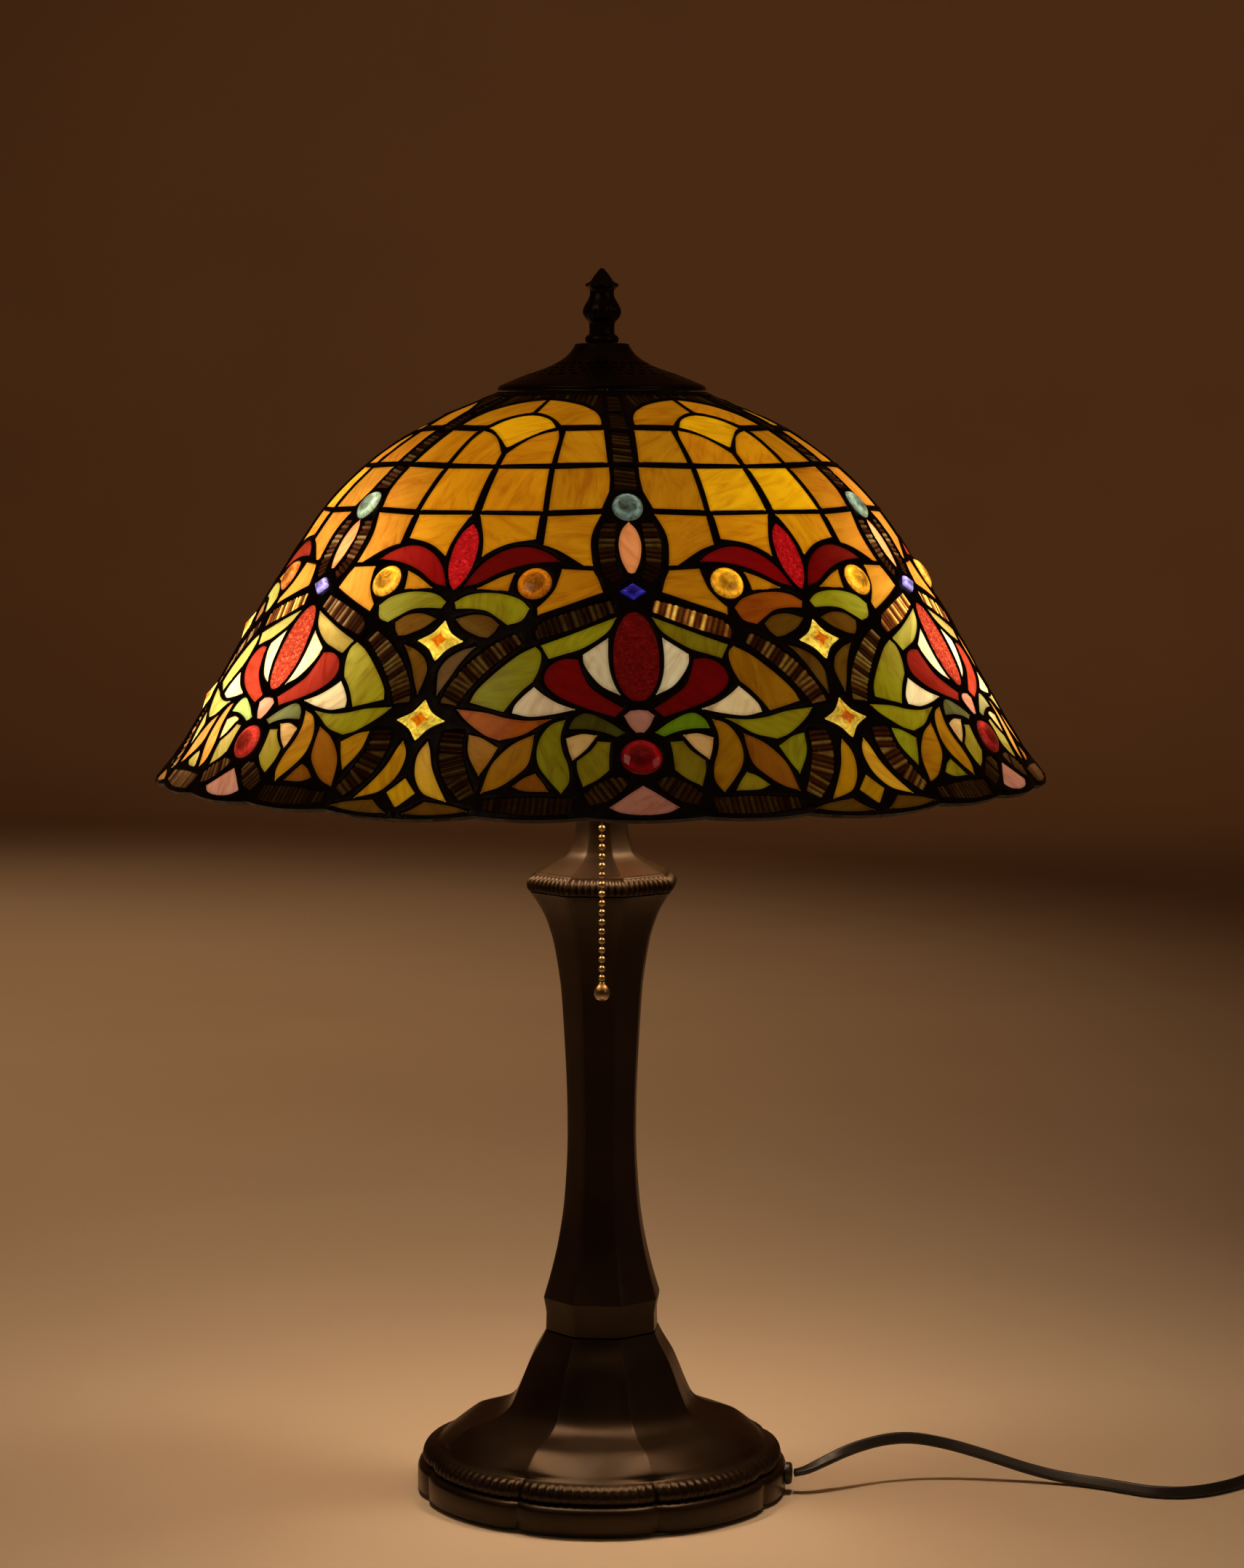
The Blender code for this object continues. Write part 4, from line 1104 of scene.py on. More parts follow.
def shell_faces(count, triangles):
    """Faces of a closed sheet: the triangles, the same ones turned over below, and walls between the two."""
    faces = [*triangles, *[tuple(number + count for number in reversed(face)) for face in triangles]]
    faces += [(end, start, start + count, end + count) for start, end in border_edges(triangles)]
    return faces


# ---------------------------------------------------------------- the came

BORDER_STEP = 0.7
RIM_STEPS = 90
CROWN_STEPS = 24
CAME_ROWS = (0.3, 0.75, 1.4)
CAME_CELL = 0.45
AXIS_GAP = 0.08
SOLDER_LUMP = 0.22


def border_loop():
    """The half sector's edge: down the rib, along the rim, up the middle and back along the crown."""
    rib_count = round(rim_arc(0.0) / BORDER_STEP)
    middle_count = round(rim_arc(HALF_SECTOR) / BORDER_STEP)
    rim = [HALF_SECTOR * k / RIM_STEPS for k in range(RIM_STEPS)]
    loop = [(0.0, rim_arc(0.0) * k / rib_count) for k in range(rib_count)]
    loop += [(degrees, rim_arc(degrees)) for degrees in rim]
    loop += [(HALF_SECTOR, rim_arc(HALF_SECTOR) * (1 - k / middle_count)) for k in range(middle_count)]
    return loop + [(HALF_SECTOR * (1 - k / CROWN_STEPS), 0.0) for k in range(CROWN_STEPS)]


def came_layout():
    """The half sector's came: flat points, their distances from the nearest glass or rim, and triangles."""
    border = border_loop()
    lines, holes, edge_spots = [([flat(place) for place in border], True)], [], []
    for piece in PATTERN:
        half = piece.half(2.0 if piece.family == "window" else 1.5)
        holes.append((half, box_of(half)))
        line = [flat(place) for place in half]
        lines.append((line, piece.seat == "side"))
        edge_spots += dense(line, closed=piece.seat == "side")
    rim = [flat(place) for place in border if place[1] > RIM_ARC - 0.2]
    edge_spots += dense(sorted(rim, key=lambda spot: spot.x), closed=False)
    tree = near_tree(edge_spots)

    def is_came(spot):
        """Whether a flat point lies on the half sector but on no glass."""
        degrees, arc = unflat(spot)
        if not inside((degrees, arc), border):
            return False
        for hole, (left, right, top, bottom) in holes:
            if left < degrees < right and top < arc < bottom and inside((degrees, arc), hole):
                return False
        return True

    spots, triangles = triangulate(lines, came_fill(lines, tree, is_came), is_came)
    return [(unflat(spot), nearest(tree, spot)) for spot in spots], triangles


def came_fill(lines, tree, is_came):
    """Points inside the came: rows along each edge that shape its rounding, then a grid."""
    taken = set()
    found = []
    rows = [(offset_loop(line, gap), gap) for gap in CAME_ROWS for line, _ in lines[1:]]
    rows.append((grid_spots(lines[0][0], 2.2), 1.9))
    for spots, gap in rows:
        for spot in spots:
            cell = (round(spot.x / CAME_CELL), round(spot.y / CAME_CELL))
            off_axis = AXIS_GAP < unflat(spot)[0] < HALF_SECTOR - AXIS_GAP
            if cell not in taken and off_axis and nearest(tree, spot) > gap * 0.9 and is_came(spot):
                taken.add(cell)
                found.append(spot)
    return found


def came_depths(distance, lump):
    """Millimetres under the dome's outside of the came's outer and inner surface."""
    rounding = math.sqrt(1.0 - (1.0 - min(distance / CAME_ROUNDING, 1.0)) ** 2)
    return CAME_EDGE - (CAME_CROWN + lump) * rounding, GLASS_INNER + 0.9 * rounding


def make_cames():
    """One came per sector, centred on its rib: the half layout and its mirror, joined along the rib."""
    spots, triangles = came_layout()
    count = len(spots)
    on_rib = {number for number, ((degrees, _), _) in enumerate(spots) if abs(degrees) < 1e-3}
    shell = shell_faces(count, triangles)
    half = [face for face in shell if not all(number % count in on_rib for number in face)]
    for sector in range(SECTORS):
        points, faces = [], []
        for side in (1.0, -1.0):
            faces += [tuple(len(points) + number for number in face) for face in half]
            outer, inner = [], []
            for (degrees, arc), distance in spots:
                turn = side * degrees + 2 * HALF_SECTOR * sector
                lump = SOLDER_LUMP * noise.noise(dome(turn, arc) * 160.0)
                outer_depth, inner_depth = came_depths(distance, lump)
                outer.append(dome(turn, arc, outer_depth))
                inner.append(dome(turn, arc, inner_depth))
            points += outer + inner
        came = new_object(f"came_{sector + 1}", points, faces, SOLDER)
        weld(came, 1e-5)
        place(sharpen(came, 50.0), "shade", "leading", "shade_leading")


# ---------------------------------------------------------------- the glass

# Painted glow: the glass's emission stands in for the bulbs' light shining through it; these set where and how
# strongly it is painted.
GLOW_CENTRES = (Vector((-0.111, -0.014, 0.397)), Vector((0.111, 0.014, 0.397)))
GLOW_REACH = 0.1
GLOW_AMBIENT = 0.45
GLOW_STRENGTH = 2.8
GLOW_LIMIT = 1.25
AMBIENT_GAIN_ABOVE = 0.38
GLOW_LOSS_ABOVE = 0.70
# Painted glare: above this glow level the tint is painted as washed out, by this much for each unit more.
PAINTED_GLARE_FROM = 1.3
PAINTED_GLARE_WASH = 0.075


def glow(spot):
    """Painted glow: how strongly the glass at a point is painted as lit from behind, most beside a bulb, less
    above it.
    """
    above = min(max((spot.z - GLOW_CENTRES[0].z) / GLOW_REACH, 0.0), 1.0)
    level = GLOW_AMBIENT + AMBIENT_GAIN_ABOVE * above
    for centre in GLOW_CENTRES:
        nearness = min((GLOW_REACH / (spot - centre).length) ** 4, GLOW_LIMIT)
        level += GLOW_STRENGTH * (1.0 - GLOW_LOSS_ABOVE * above) * nearness
    return level


def glare_washed(tint, excess_glow):
    """Painted glare, a tint washed out by strong light: reds turn to scarlet, and the others towards white."""
    red, green, blue = tint
    paleness = min(1.0, green / red)
    wash = PAINTED_GLARE_WASH * excess_glow
    blue_share = max(0.045, 0.35 * paleness, min(1.0, 0.08 * blue / red))
    return (red + wash, green + wash * max(0.125, paleness), blue + wash * blue_share)


# Painted shade: the glass is painted darker along its edges, where the came meets it.
EDGE_SHADE = 0.55
SPINE_STEP = 0.43
RIDGE_PITCH = 2.6
RIDGE_HEIGHT = 0.7
JEWEL_HEIGHT = 2.9
STAR_HEIGHT = 2.4
STAR_CREASE = 25.0
GLASS_CREASE = 60.0
WINDOW_SPREAD = 0.10
FLOWER_SPREAD = 0.16
DOME_RINGS = (1.0, 0.97, 0.91, 0.82, 0.70, 0.55, 0.38, 0.18)
STAR_RINGS = (1.0, 0.86, 0.72, 0.58, 0.44, 0.30, 0.15)


class Glass:
    """Closed pieces of glass of one family, gathered into one mesh with a tint and a grain at each point."""

    def __init__(self):
        """An empty mesh."""
        self.points, self.faces, self.tints, self.grain = [], [], [], []

    def add(self, layout, faces, turn_at, tint):
        """A piece from (place, depth, shade) points, turned by turn_at; shade scales its tint and glow."""
        first = len(self.points)
        angle, start = random.uniform(0.0, math.pi), random.uniform(0.0, 50.0)
        cos, sin = math.cos(angle), math.sin(angle)
        for (degrees, arc), depth, shade in layout:
            spot = dome(turn_at(degrees), arc, depth)
            x, y = degrees * stretch(arc) * MM, arc * MM
            self.points.append(spot)
            self.grain.append((x * cos + y * sin + start, y * cos - x * sin + start))
            factors = shade if isinstance(shade, tuple) else (1.0, 1.0, 1.0, shade)
            # Painted glow: the tint is washed out where the glass is painted as strongly lit, and its alpha is
            # how strongly it glows.
            level = glow(spot)
            colour = [channel * factor for channel, factor in zip(tint, factors)]
            self.tints.append((*glare_washed(colour, max(0.0, level - PAINTED_GLARE_FROM)), level * factors[3]))
        self.faces += [tuple(first + number for number in face) for face in faces]

    def build(self, name, finish):
        """The gathered mesh as an object, with its tints and its grain."""
        item = new_object(name, self.points, self.faces, finish)
        tint = item.data.color_attributes.new("tint", "FLOAT_COLOR", "POINT")
        for entry, value in zip(tint.data, self.tints):
            entry.color = value
        layer = item.data.uv_layers.new(name="grain")
        for loop, entry in zip(item.data.loops, layer.data):
            entry.uv = self.grain[loop.vertex_index]
        return item


def sheet_layout(piece):
    """A flat piece: its lap under the came, a row just inside its edge, and a grid, on both surfaces."""
    step, spacing = (3.0, 5.0) if piece.family == "window" else (2.0, 3.2)
    loop = [flat(place) for place in piece.outline(step)]
    lap = offset_loop(loop, GLASS_LAP)
    tree = near_tree(dense(loop, 0.8))

    def well_inside(spots, gap):
        """Those points inside the glass that are further from its edge than the gap."""
        return [spot for spot in spots if inside(spot, loop) and nearest(tree, spot) > gap]

    fill = [*well_inside(offset_loop(loop, -1.5), 1.2), *well_inside(grid_spots(loop, spacing), 2.0)]
    spots, triangles = triangulate([(lap, True)], fill, lambda spot: inside(spot, lap))
    layout = []
    for depth in (GLASS_OUTER, GLASS_INNER):
        for spot in spots:
            at_edge = not inside(spot, loop) or nearest(tree, spot) < 0.9
            layout.append((unflat(spot), depth, EDGE_SHADE if at_edge else 1.0))
    return layout, shell_faces(len(spots), triangles)


def ribbed_layout(piece):
    """A ribbed piece: ridges across its length, each with a painted highlight along its crest as bright as its
    own random share.
    """
    lap = offset_loop([flat(place) for place in piece.outline(1.2)], GLASS_LAP)
    spine = dense([flat(place) for place in piece.ridge], SPINE_STEP, closed=False)
    spine_tree = near_tree(spine)
    lap_tree = near_tree(dense(lap, 0.5))
    rungs = []
    for before, after in zip(spine, spine[1:]):
        along = (after - before).normalized()
        for offset in range(-5, 6):
            spot = before + Vector((along.y, -along.x)) * (offset * 2.4)
            if inside(spot, lap) and nearest(lap_tree, spot) > 0.35:
                rungs.append(spot)
    spots, triangles = triangulate([(lap, True)], rungs, lambda spot: inside(spot, lap))
    painted_ridge_light = [random.choice((0.15, 0.45, 0.8, 1.0)) * random.uniform(0.7, 1.2) for _ in range(40)]
    top, bottom = [], []
    for spot in spots:
        travel = spine_tree.find((spot[0], spot[1], 0.0))[1] * SPINE_STEP / RIDGE_PITCH
        wave = 0.5 - 0.5 * math.cos(2 * math.pi * travel)
        # Painted highlight: bright along each crest and dark in the grooves, gold where bright and brown where
        # dim.
        shade = painted_ridge_light[int(travel) % len(painted_ridge_light)] * (0.10 + 0.90 * wave**0.8)
        tone = (1.0, 0.35 + 0.65 * shade, 0.3 + 0.7 * shade, shade)
        top.append((unflat(spot), GLASS_OUTER + 0.3 - RIDGE_HEIGHT * math.sqrt(wave), tone))
        bottom.append((unflat(spot), GLASS_INNER, shade))
    return top + bottom, shell_faces(len(spots), triangles)


def raised_layout(piece, height, rings, profile, shade_at, step):
    """A cabochon or a star: its outline shrunk to its middle in rings that rise by profile(share)."""
    loop = offset_loop([flat(place) for place in piece.outline(step)], 0.5)
    centre = sum(loop, Vector((0.0, 0.0))) / len(loop)
    count = len(loop)
    layout = []
    for share in rings:
        for number, spot in enumerate(loop):
            place = unflat(centre + (spot - centre) * share)
            layout.append((place, GLASS_OUTER - height * profile(share), shade_at(share, number / count)))
    middle = len(layout)
    under = middle + 1
    layout.append((unflat(centre), GLASS_OUTER - height * profile(0.0), shade_at(0.0, 0.0)))
    layout += [(unflat(spot), GLASS_INNER, shade_at(1.0, number / count)) for number, spot in enumerate(loop)]
    faces = [tuple(reversed(face)) for face in ring_faces(len(rings), count, False)]
    faces += [(middle - count + (k + 1) % count, middle - count + k, middle) for k in range(count)]
    faces += [(k, (k + 1) % count, under + (k + 1) % count, under + k) for k in range(count)]
    faces.append(tuple(under + k for k in range(count)))
    return layout, faces


def jewel_layout(piece):
    """A cabochon with a painted glow: brightest in a ring near its edge, and brighter on one side than the
    other.
    """

    def shade_at(share, turn):
        """The shade at a share of the outline and a turn round it."""
        rim = 0.6 + 1.3 * math.exp(-(((share - 0.74) / 0.15) ** 2))
        return rim * (1.0 + 0.35 * math.sin(2 * math.pi * turn + 1.0))

    return raised_layout(
        piece, JEWEL_HEIGHT, DOME_RINGS, lambda share: math.sqrt(1 - share**2), shade_at, 1.8
    )


def star_layout(piece):
    """A star jewel with flat facets: pale yellow points around an orange middle, with a painted glow that is
    brighter on some facets than others.
    """

    def shade_at(share, turn):
        """The shade at a share of the outline and a turn round it."""
        facet = 1.0 + 0.25 * math.sin(4 * math.pi * turn + 0.6)
        if share < 0.35:
            return (1.7, 0.75, 0.8, 0.9)
        return (1.7 + share * 0.5, 1.9 + share * 1.6, 1.5 + share * 30.0, facet)

    return raised_layout(piece, STAR_HEIGHT, STAR_RINGS, lambda share: 1 - share, shade_at, 2.4)


FAMILIES = {
    "window": (sheet_layout, ART_GLASS, "amber_glass"),
    "flower": (sheet_layout, ART_GLASS, "flower_glass"),
    "hammered": (sheet_layout, HAMMERED, "flower_glass"),
    "ribbed": (ribbed_layout, RIBBED_GLASS, "flower_glass"),
    "jewel": (jewel_layout, JEWEL, "flower_glass"),
    "star": (star_layout, JEWEL, "flower_glass"),
}


def varied(tint, amount):
    """A tint with a random lightness and a little random warmth."""
    lightness = random.uniform(1.0 - amount, 1.0 + amount)
    warmth = random.uniform(0.93, 1.07)
    return (tint[0] * lightness, tint[1] * lightness * warmth, tint[2] * lightness * warmth)


def make_glass(family):
    """Each sector's glass of one family: the pieces of a rib's right side, mirrored on its left."""
    lay_out, finish, slot = FAMILIES[family]
    node = "window_glass" if family == "window" else "flower_glass"
    crease = STAR_CREASE if family == "star" else GLASS_CREASE
    spread = WINDOW_SPREAD if family == "window" else FLOWER_SPREAD
    pieces = [(piece, *lay_out(piece)) for piece in PATTERN if piece.family == family]
    for sector in range(SECTORS):
        glass = Glass()
        for piece, layout, faces in pieces:
            for side in (0, 1) if piece.seat == "side" else (0,):
                choice = side if sector == 0 else random.randrange(2)
                tint = varied(piece.tints[choice], spread)
                # Painted light: the piece's shine lights or darkens its tint for the side it stands on.
                tint = tuple(channel * piece.shine[choice] for channel in tint)
                mirror = -1.0 if side else 1.0
                turn = 2 * HALF_SECTOR * sector
                glass.add(layout, faces, lambda degrees: mirror * degrees + turn, tint)
        item = sharpen(glass.build(f"{family}_glass_{sector + 1}", finish), crease)
        place(item, "shade", slot, f"{node}_{sector + 1}")


def make_shade():
    """The whole dome: its came, then its glass, one family after another."""
    make_cames()
    for family in FAMILIES:
        make_glass(family)


# ---------------------------------------------------------------- the foot, the column and the neck

FOOT_PLINTH = (
    (0.0015, 0.0866, 0.0842), (0.0023, 0.0873, 0.0848), (0.0114, 0.0873, 0.0848), (0.0127, 0.0869, 0.0844),
    (0.0136, 0.0858, 0.0834), (0.0141, 0.0842, 0.0819),
)
FOOT_BEAD = (
    (0.0144, 0.0831, 0.0808), (0.0153, 0.0843, 0.0818), (0.0170, 0.0849, 0.0824), (0.0192, 0.0845, 0.0821),
    (0.0212, 0.0829, 0.0806), (0.0227, 0.0801, 0.0781),
)
FOOT_RISE = (
    (0.0230, 0.0777, 0.0764), (0.0245, 0.0757, 0.0757), (0.0262, 0.0734, 0.0747), (0.0305, 0.0668, 0.0694),
    (0.0334, 0.0610, 0.0647), (0.0352, 0.0548, 0.0589), (0.0373, 0.0482, 0.0520), (0.0415, 0.0430, 0.0458),
    (0.0479, 0.0395, 0.0423), (0.0605, 0.0342, 0.0370), (0.0654, 0.0320, 0.0346), (0.0724, 0.0280, 0.0303),
    (0.0770, 0.0259, 0.0280),
)
FOOT_INNER = (
    (0.0770, 0.0053), (0.0735, 0.0053), (0.0735, 0.0230), (0.0640, 0.0285), (0.0500, 0.0350),
    (0.0400, 0.0395), (0.0345, 0.0455), (0.0320, 0.0525), (0.0300, 0.0590), (0.0262, 0.0670),
    (0.0205, 0.0745), (0.0150, 0.0785), (0.0130, 0.0815), (0.0015, 0.0815),
)
COLUMN_SHOULDER = ((0.0773, 0.0274), (0.0780, 0.0280), (0.0861, 0.0278))
COLUMN_OUTER = (
    (0.0931, 0.0291), (0.1047, 0.0255), (0.1166, 0.0225), (0.1282, 0.0203), (0.1397, 0.0188),
    (0.1582, 0.0175), (0.1741, 0.0172), (0.1973, 0.0177), (0.2315, 0.0197), (0.2453, 0.0211),
    (0.2601, 0.0237), (0.2676, 0.0258), (0.2752, 0.0288), (0.2824, 0.0332), (0.2856, 0.0357),
)
NECK_COLLAR = (
    (0.2859, 0.0352, 0.0), (0.2863, 0.0361, 0.3), (0.2872, 0.0369, 0.8), (0.2884, 0.0373, 1.0),
    (0.2897, 0.0373, 1.0), (0.2909, 0.0368, 1.0), (0.2918, 0.0361, 0.9), (0.2924, 0.0352, 0.7),
    (0.2930, 0.0343, 0.3), (0.2937, 0.0332, 0.0), (0.2942, 0.0331, 0.0), (0.2946, 0.0326, 0.0),
    (0.2945, 0.0317, 0.0),
)
NECK_RISE = (
    (0.2950, 0.0308), (0.2975, 0.0259), (0.3013, 0.0188), (0.3047, 0.0156), (0.3122, 0.0132),
    (0.3190, 0.0124), (0.3250, 0.0122),
)
CAST_BORE = 0.0090
REEDS_PER_LOBE = 16
REED_DEPTH = 0.0012
NOTCHES_PER_SIDE = 9
NOTCH_DEPTH = 0.0014
CORNER_SOFTNESS = 55.0


def side_share(degrees):
    """0 at the middle of one of the casting's eight sides, 1 at a corner."""
    half = 180.0 / FOOT_SIDES
    return abs((degrees + half) % (2 * half) - half) / half


def octagon_factor(degrees):
    """How far a side lies in from the corner circle, with softly rounded corners."""
    half = math.radians(180.0 / FOOT_SIDES)
    sharp = math.cos(half) / math.cos(half * side_share(degrees))
    return (sharp**-CORNER_SOFTNESS + 0.992**-CORNER_SOFTNESS) ** (-1.0 / CORNER_SOFTNESS)


def foot_radius(degrees, middle, groove, reeds):
    """The foot's radius, from a side's middle to its corner groove, cut by reeds where reeds is above 0."""
    power = 6 if groove < middle else 2
    cut = abs(math.cos(math.pi * REEDS_PER_LOBE * degrees * FOOT_SIDES / 360.0)) ** 3
    return middle + (groove - middle) * side_share(degrees) ** power - REED_DEPTH * reeds * cut


def cast_octagon(degrees, radius, roundness, notches):
    """A casting of eight sides, cut by nail-shaped notches where notches is above 0."""
    factor = octagon_factor(degrees)
    cut = abs(math.cos(math.pi * NOTCHES_PER_SIDE * degrees * FOOT_SIDES / 360.0)) ** 2
    return radius * (factor + (1.0 - factor) * roundness) - NOTCH_DEPTH * notches * cut


def cast_shape(name, rows, count, radius_at, crease):
    """A closed casting. Its rows hold a height and radius_at's values, or a height and one plain radius."""
    points = []
    for height, *values in rows:
        for step in range(count):
            degrees = 360.0 * step / count
            radius = radius_at(degrees, *values) if len(values) > 1 else values[0]
            points.append(around(radius, degrees + FOOT_TURN, height))
    return sharpen(new_object(name, points, ring_faces(len(rows), count, True), BRONZE), crease)


def make_foot():
    """The foot casting: a plinth, a reeded bead, and a skirt that rises to the column."""
    bead = smooth_points(FOOT_BEAD, 3)
    low, high = bead[0][0], bead[-1][0]
    rows = [(*row, 0.0) for row in FOOT_PLINTH]
    for spot in bead:
        share = min(max((spot[0] - low) / (high - low), 0.0), 1.0)
        rows.append((*spot, math.sin(math.pi * share) ** 0.6))
    rows += [(*spot, 0.0) for spot in smooth_points(FOOT_RISE, 3)]
    rows += FOOT_INNER
    foot = cast_shape("reeded_foot", rows, FOOT_SIDES * REEDS_PER_LOBE * 6, foot_radius, 60.0)
    place(foot, "stand", "bronze", "base_casting")


def make_column():
    """The octagonal column."""
    rise = smooth_points([(height, radius, 0.0) for height, radius in COLUMN_OUTER], 3)
    rows = [(height, radius, 0.0, 0.0) for height, radius in COLUMN_SHOULDER]
    rows += [(spot[0], spot[1], 0.0, 0.0) for spot in rise]
    rows += [(COLUMN_OUTER[-1][0], CAST_BORE), (COLUMN_SHOULDER[0][0], CAST_BORE)]
    column = cast_shape("octagonal_column", rows, FOOT_SIDES * 16, cast_octagon, 24.0)
    place(column, "stand", "bronze", "column")


def make_neck():
    """The neck, with its notched collar."""
    rise = smooth_points([(height, radius, 0.0) for height, radius in NECK_RISE], 3)
    low, top = NECK_RISE[0][0], NECK_RISE[-1][0]
    rows = [(height, radius, 0.0, notches) for height, radius, notches in NECK_COLLAR]
    rows += [(spot[0], spot[1], 0.8 * (spot[0] - low) / (top - low), 0.0) for spot in rise]
    rows += [(top, CAST_BORE), (NECK_COLLAR[0][0], CAST_BORE)]
    neck = cast_shape("notched_neck", rows, FOOT_SIDES * NOTCHES_PER_SIDE * 8, cast_octagon, 50.0)
    place(neck, "stand", "bronze", "neck")


# ---------------------------------------------------------------- the pierced cap and the finial

CAP_OUTLINE = (
    (0.0036, 0.5395), (0.0080, 0.5395), (0.0119, 0.5393), (0.0128, 0.5382), (0.0142, 0.5360),
    (0.0160, 0.5340), (0.0193, 0.5315), (0.0235, 0.5292), (0.0290, 0.5271), (0.0347, 0.5252),
    (0.0400, 0.5231), (0.0440, 0.5214), (0.0463, 0.5204), (0.0477, 0.5196), (0.0481, 0.5188),
    (0.0481, 0.5179),
)
CAP_WALL = 0.0015
HOLE_ROWS = 4
HOLES_ROUND = 34
HOLE_FROM = 0.0198
HOLE_TO = 0.0368
HOLE_LENGTH = 0.66
HOLE_WIDTH = 0.74
BAND_GAP = 0.0006


def cap_profile():
    """The cap's outside from rod to edge as points and outward normals, and the pierced band's first row."""
    smooth = smooth_points([(radius, 0.0, height) for radius, height in CAP_OUTLINE], 3)
    inner = [spot for spot in smooth if spot.x < HOLE_FROM - BAND_GAP]
    outer = [spot for spot in smooth if spot.x > HOLE_TO + BAND_GAP]
    middle = []
    for k in range(2 * HOLE_ROWS + 1):
        radius = HOLE_FROM + (HOLE_TO - HOLE_FROM) * k / (2 * HOLE_ROWS)
        after = next(k for k, spot in enumerate(smooth) if spot.x >= radius)
        low, high = smooth[after - 1], smooth[after]
        middle.append(low + (high - low) * ((radius - low.x) / (high.x - low.x)))
    line = [*inner, *middle, *outer]
    normals = []
    for before, after in zip([line[0], *line], [*line[1:], line[-1]]):
        along = (after - before).normalized()
        normals.append(Vector((-along.z, 0.0, along.x)))
    return line, normals, len(inner)


def pierce(top, faces, rows, first, columns):
    """One diamond hole between three rows of the cap's grid, and the faces around it."""
    low, middle, high = (row * columns for row in rows)
    one, two = (first + 1) % columns, (first + 2) % columns
    ring = [low + one, middle + two, high + one, middle + first]
    corners = [low + two, high + two, high + first, low + first]
    spot, normal, degrees = top[middle + one]
    start = len(top)
    for number, reach in zip(ring, (HOLE_LENGTH, HOLE_WIDTH, HOLE_LENGTH, HOLE_WIDTH)):
        turn = (top[number][2] - degrees + 180.0) % 360.0 - 180.0
        top.append((spot + (top[number][0] - spot) * reach, normal, degrees + turn * reach))
    for k in range(4):
        after = (k + 1) % 4
        faces.append((ring[k], corners[k], ring[after], start + after, start + k))


def make_vase_cap():
    """The cap: a thin flared casting, pierced by staggered rows of diamonds."""
    line, normals, band = cap_profile()
    columns = 2 * HOLES_ROUND
    top, faces = [], []
    for spot, normal in zip(line, normals):
        top += [(spot, normal, 360.0 * step / columns) for step in range(columns)]
    last_band = band + 2 * HOLE_ROWS
    for row in (*range(band), *range(last_band, len(line) - 1)):
        faces += [tuple(row * columns + number for number in face) for face in ring_faces(2, columns, False)]
    for hole_row in range(HOLE_ROWS):
        rows = [band + 2 * hole_row + k for k in range(3)]
        for hole in range(HOLES_ROUND):
            pierce(top, faces, rows, 2 * hole + hole_row % 2, columns)
    used = sorted({number for face in faces for number in face})
    renumber = {old: new for new, old in enumerate(used)}
    faces = [tuple(renumber[number] for number in face) for face in faces]
    points = []
    for depth in (0.0, CAP_WALL):
        for spot, normal, degrees in (top[k] for k in used):
            sunk = spot - normal * depth
            points.append(around(sunk.x, degrees, sunk.z))
    cap = new_object("pierced_vase_cap", points, shell_faces(len(used), faces), BRONZE)
    place(sharpen(cap, 40.0), "shade", "bronze", "vase_cap")


FINIAL_OUTLINE = (
    (0.0, 0.5740), (0.0008, 0.5738), (0.0020, 0.5725), (0.0033, 0.5709), (0.0044, 0.5693), (0.0051, 0.5681),
    (0.0058, 0.5675), (0.0069, 0.5670), (0.0075, 0.5663), (0.0073, 0.5655), (0.0064, 0.5648),
    (0.0057, 0.5639), (0.0055, 0.5626), (0.0058, 0.5609), (0.0066, 0.5592), (0.0077, 0.5574),
    (0.0085, 0.5558), (0.0089, 0.5543), (0.0087, 0.5528), (0.0080, 0.5513), (0.0070, 0.5501),
    (0.0062, 0.5493), (0.0059, 0.5482), (0.0058, 0.5460), (0.0059, 0.5438), (0.0067, 0.5432),
    (0.0075, 0.5425), (0.0078, 0.5416), (0.0077, 0.5405), (0.0072, 0.5398), (0.0036, 0.5398),
    (0.0036, 0.5525), (0.0, 0.5535),
)


def finial_radius(degrees, radius, height):
    """Eight petals on the upper collar and eighteen lobes under the bulb."""
    if radius < 0.0055:
        return radius
    petals = math.exp(-(((height - 0.5664) / 0.0010) ** 2))
    lobes = math.exp(-(((height - 0.5526) / 0.0016) ** 2))
    scallop = 0.10 * petals * (abs(math.cos(math.radians(4.0 * degrees))) - 0.6)
    return radius * (1.0 + scallop - 0.11 * lobes * abs(math.cos(math.radians(9.0 * degrees))) ** 4)


def make_finial():
    """The finial with its acorn tip."""
    finial = turned("acorn_finial", FINIAL_OUTLINE, BRONZE, 144, radius_at=finial_radius)
    place(finial, "finial", "bronze", "finial")


# ---------------------------------------------------------------- the lamp holders, the bulbs and the switch

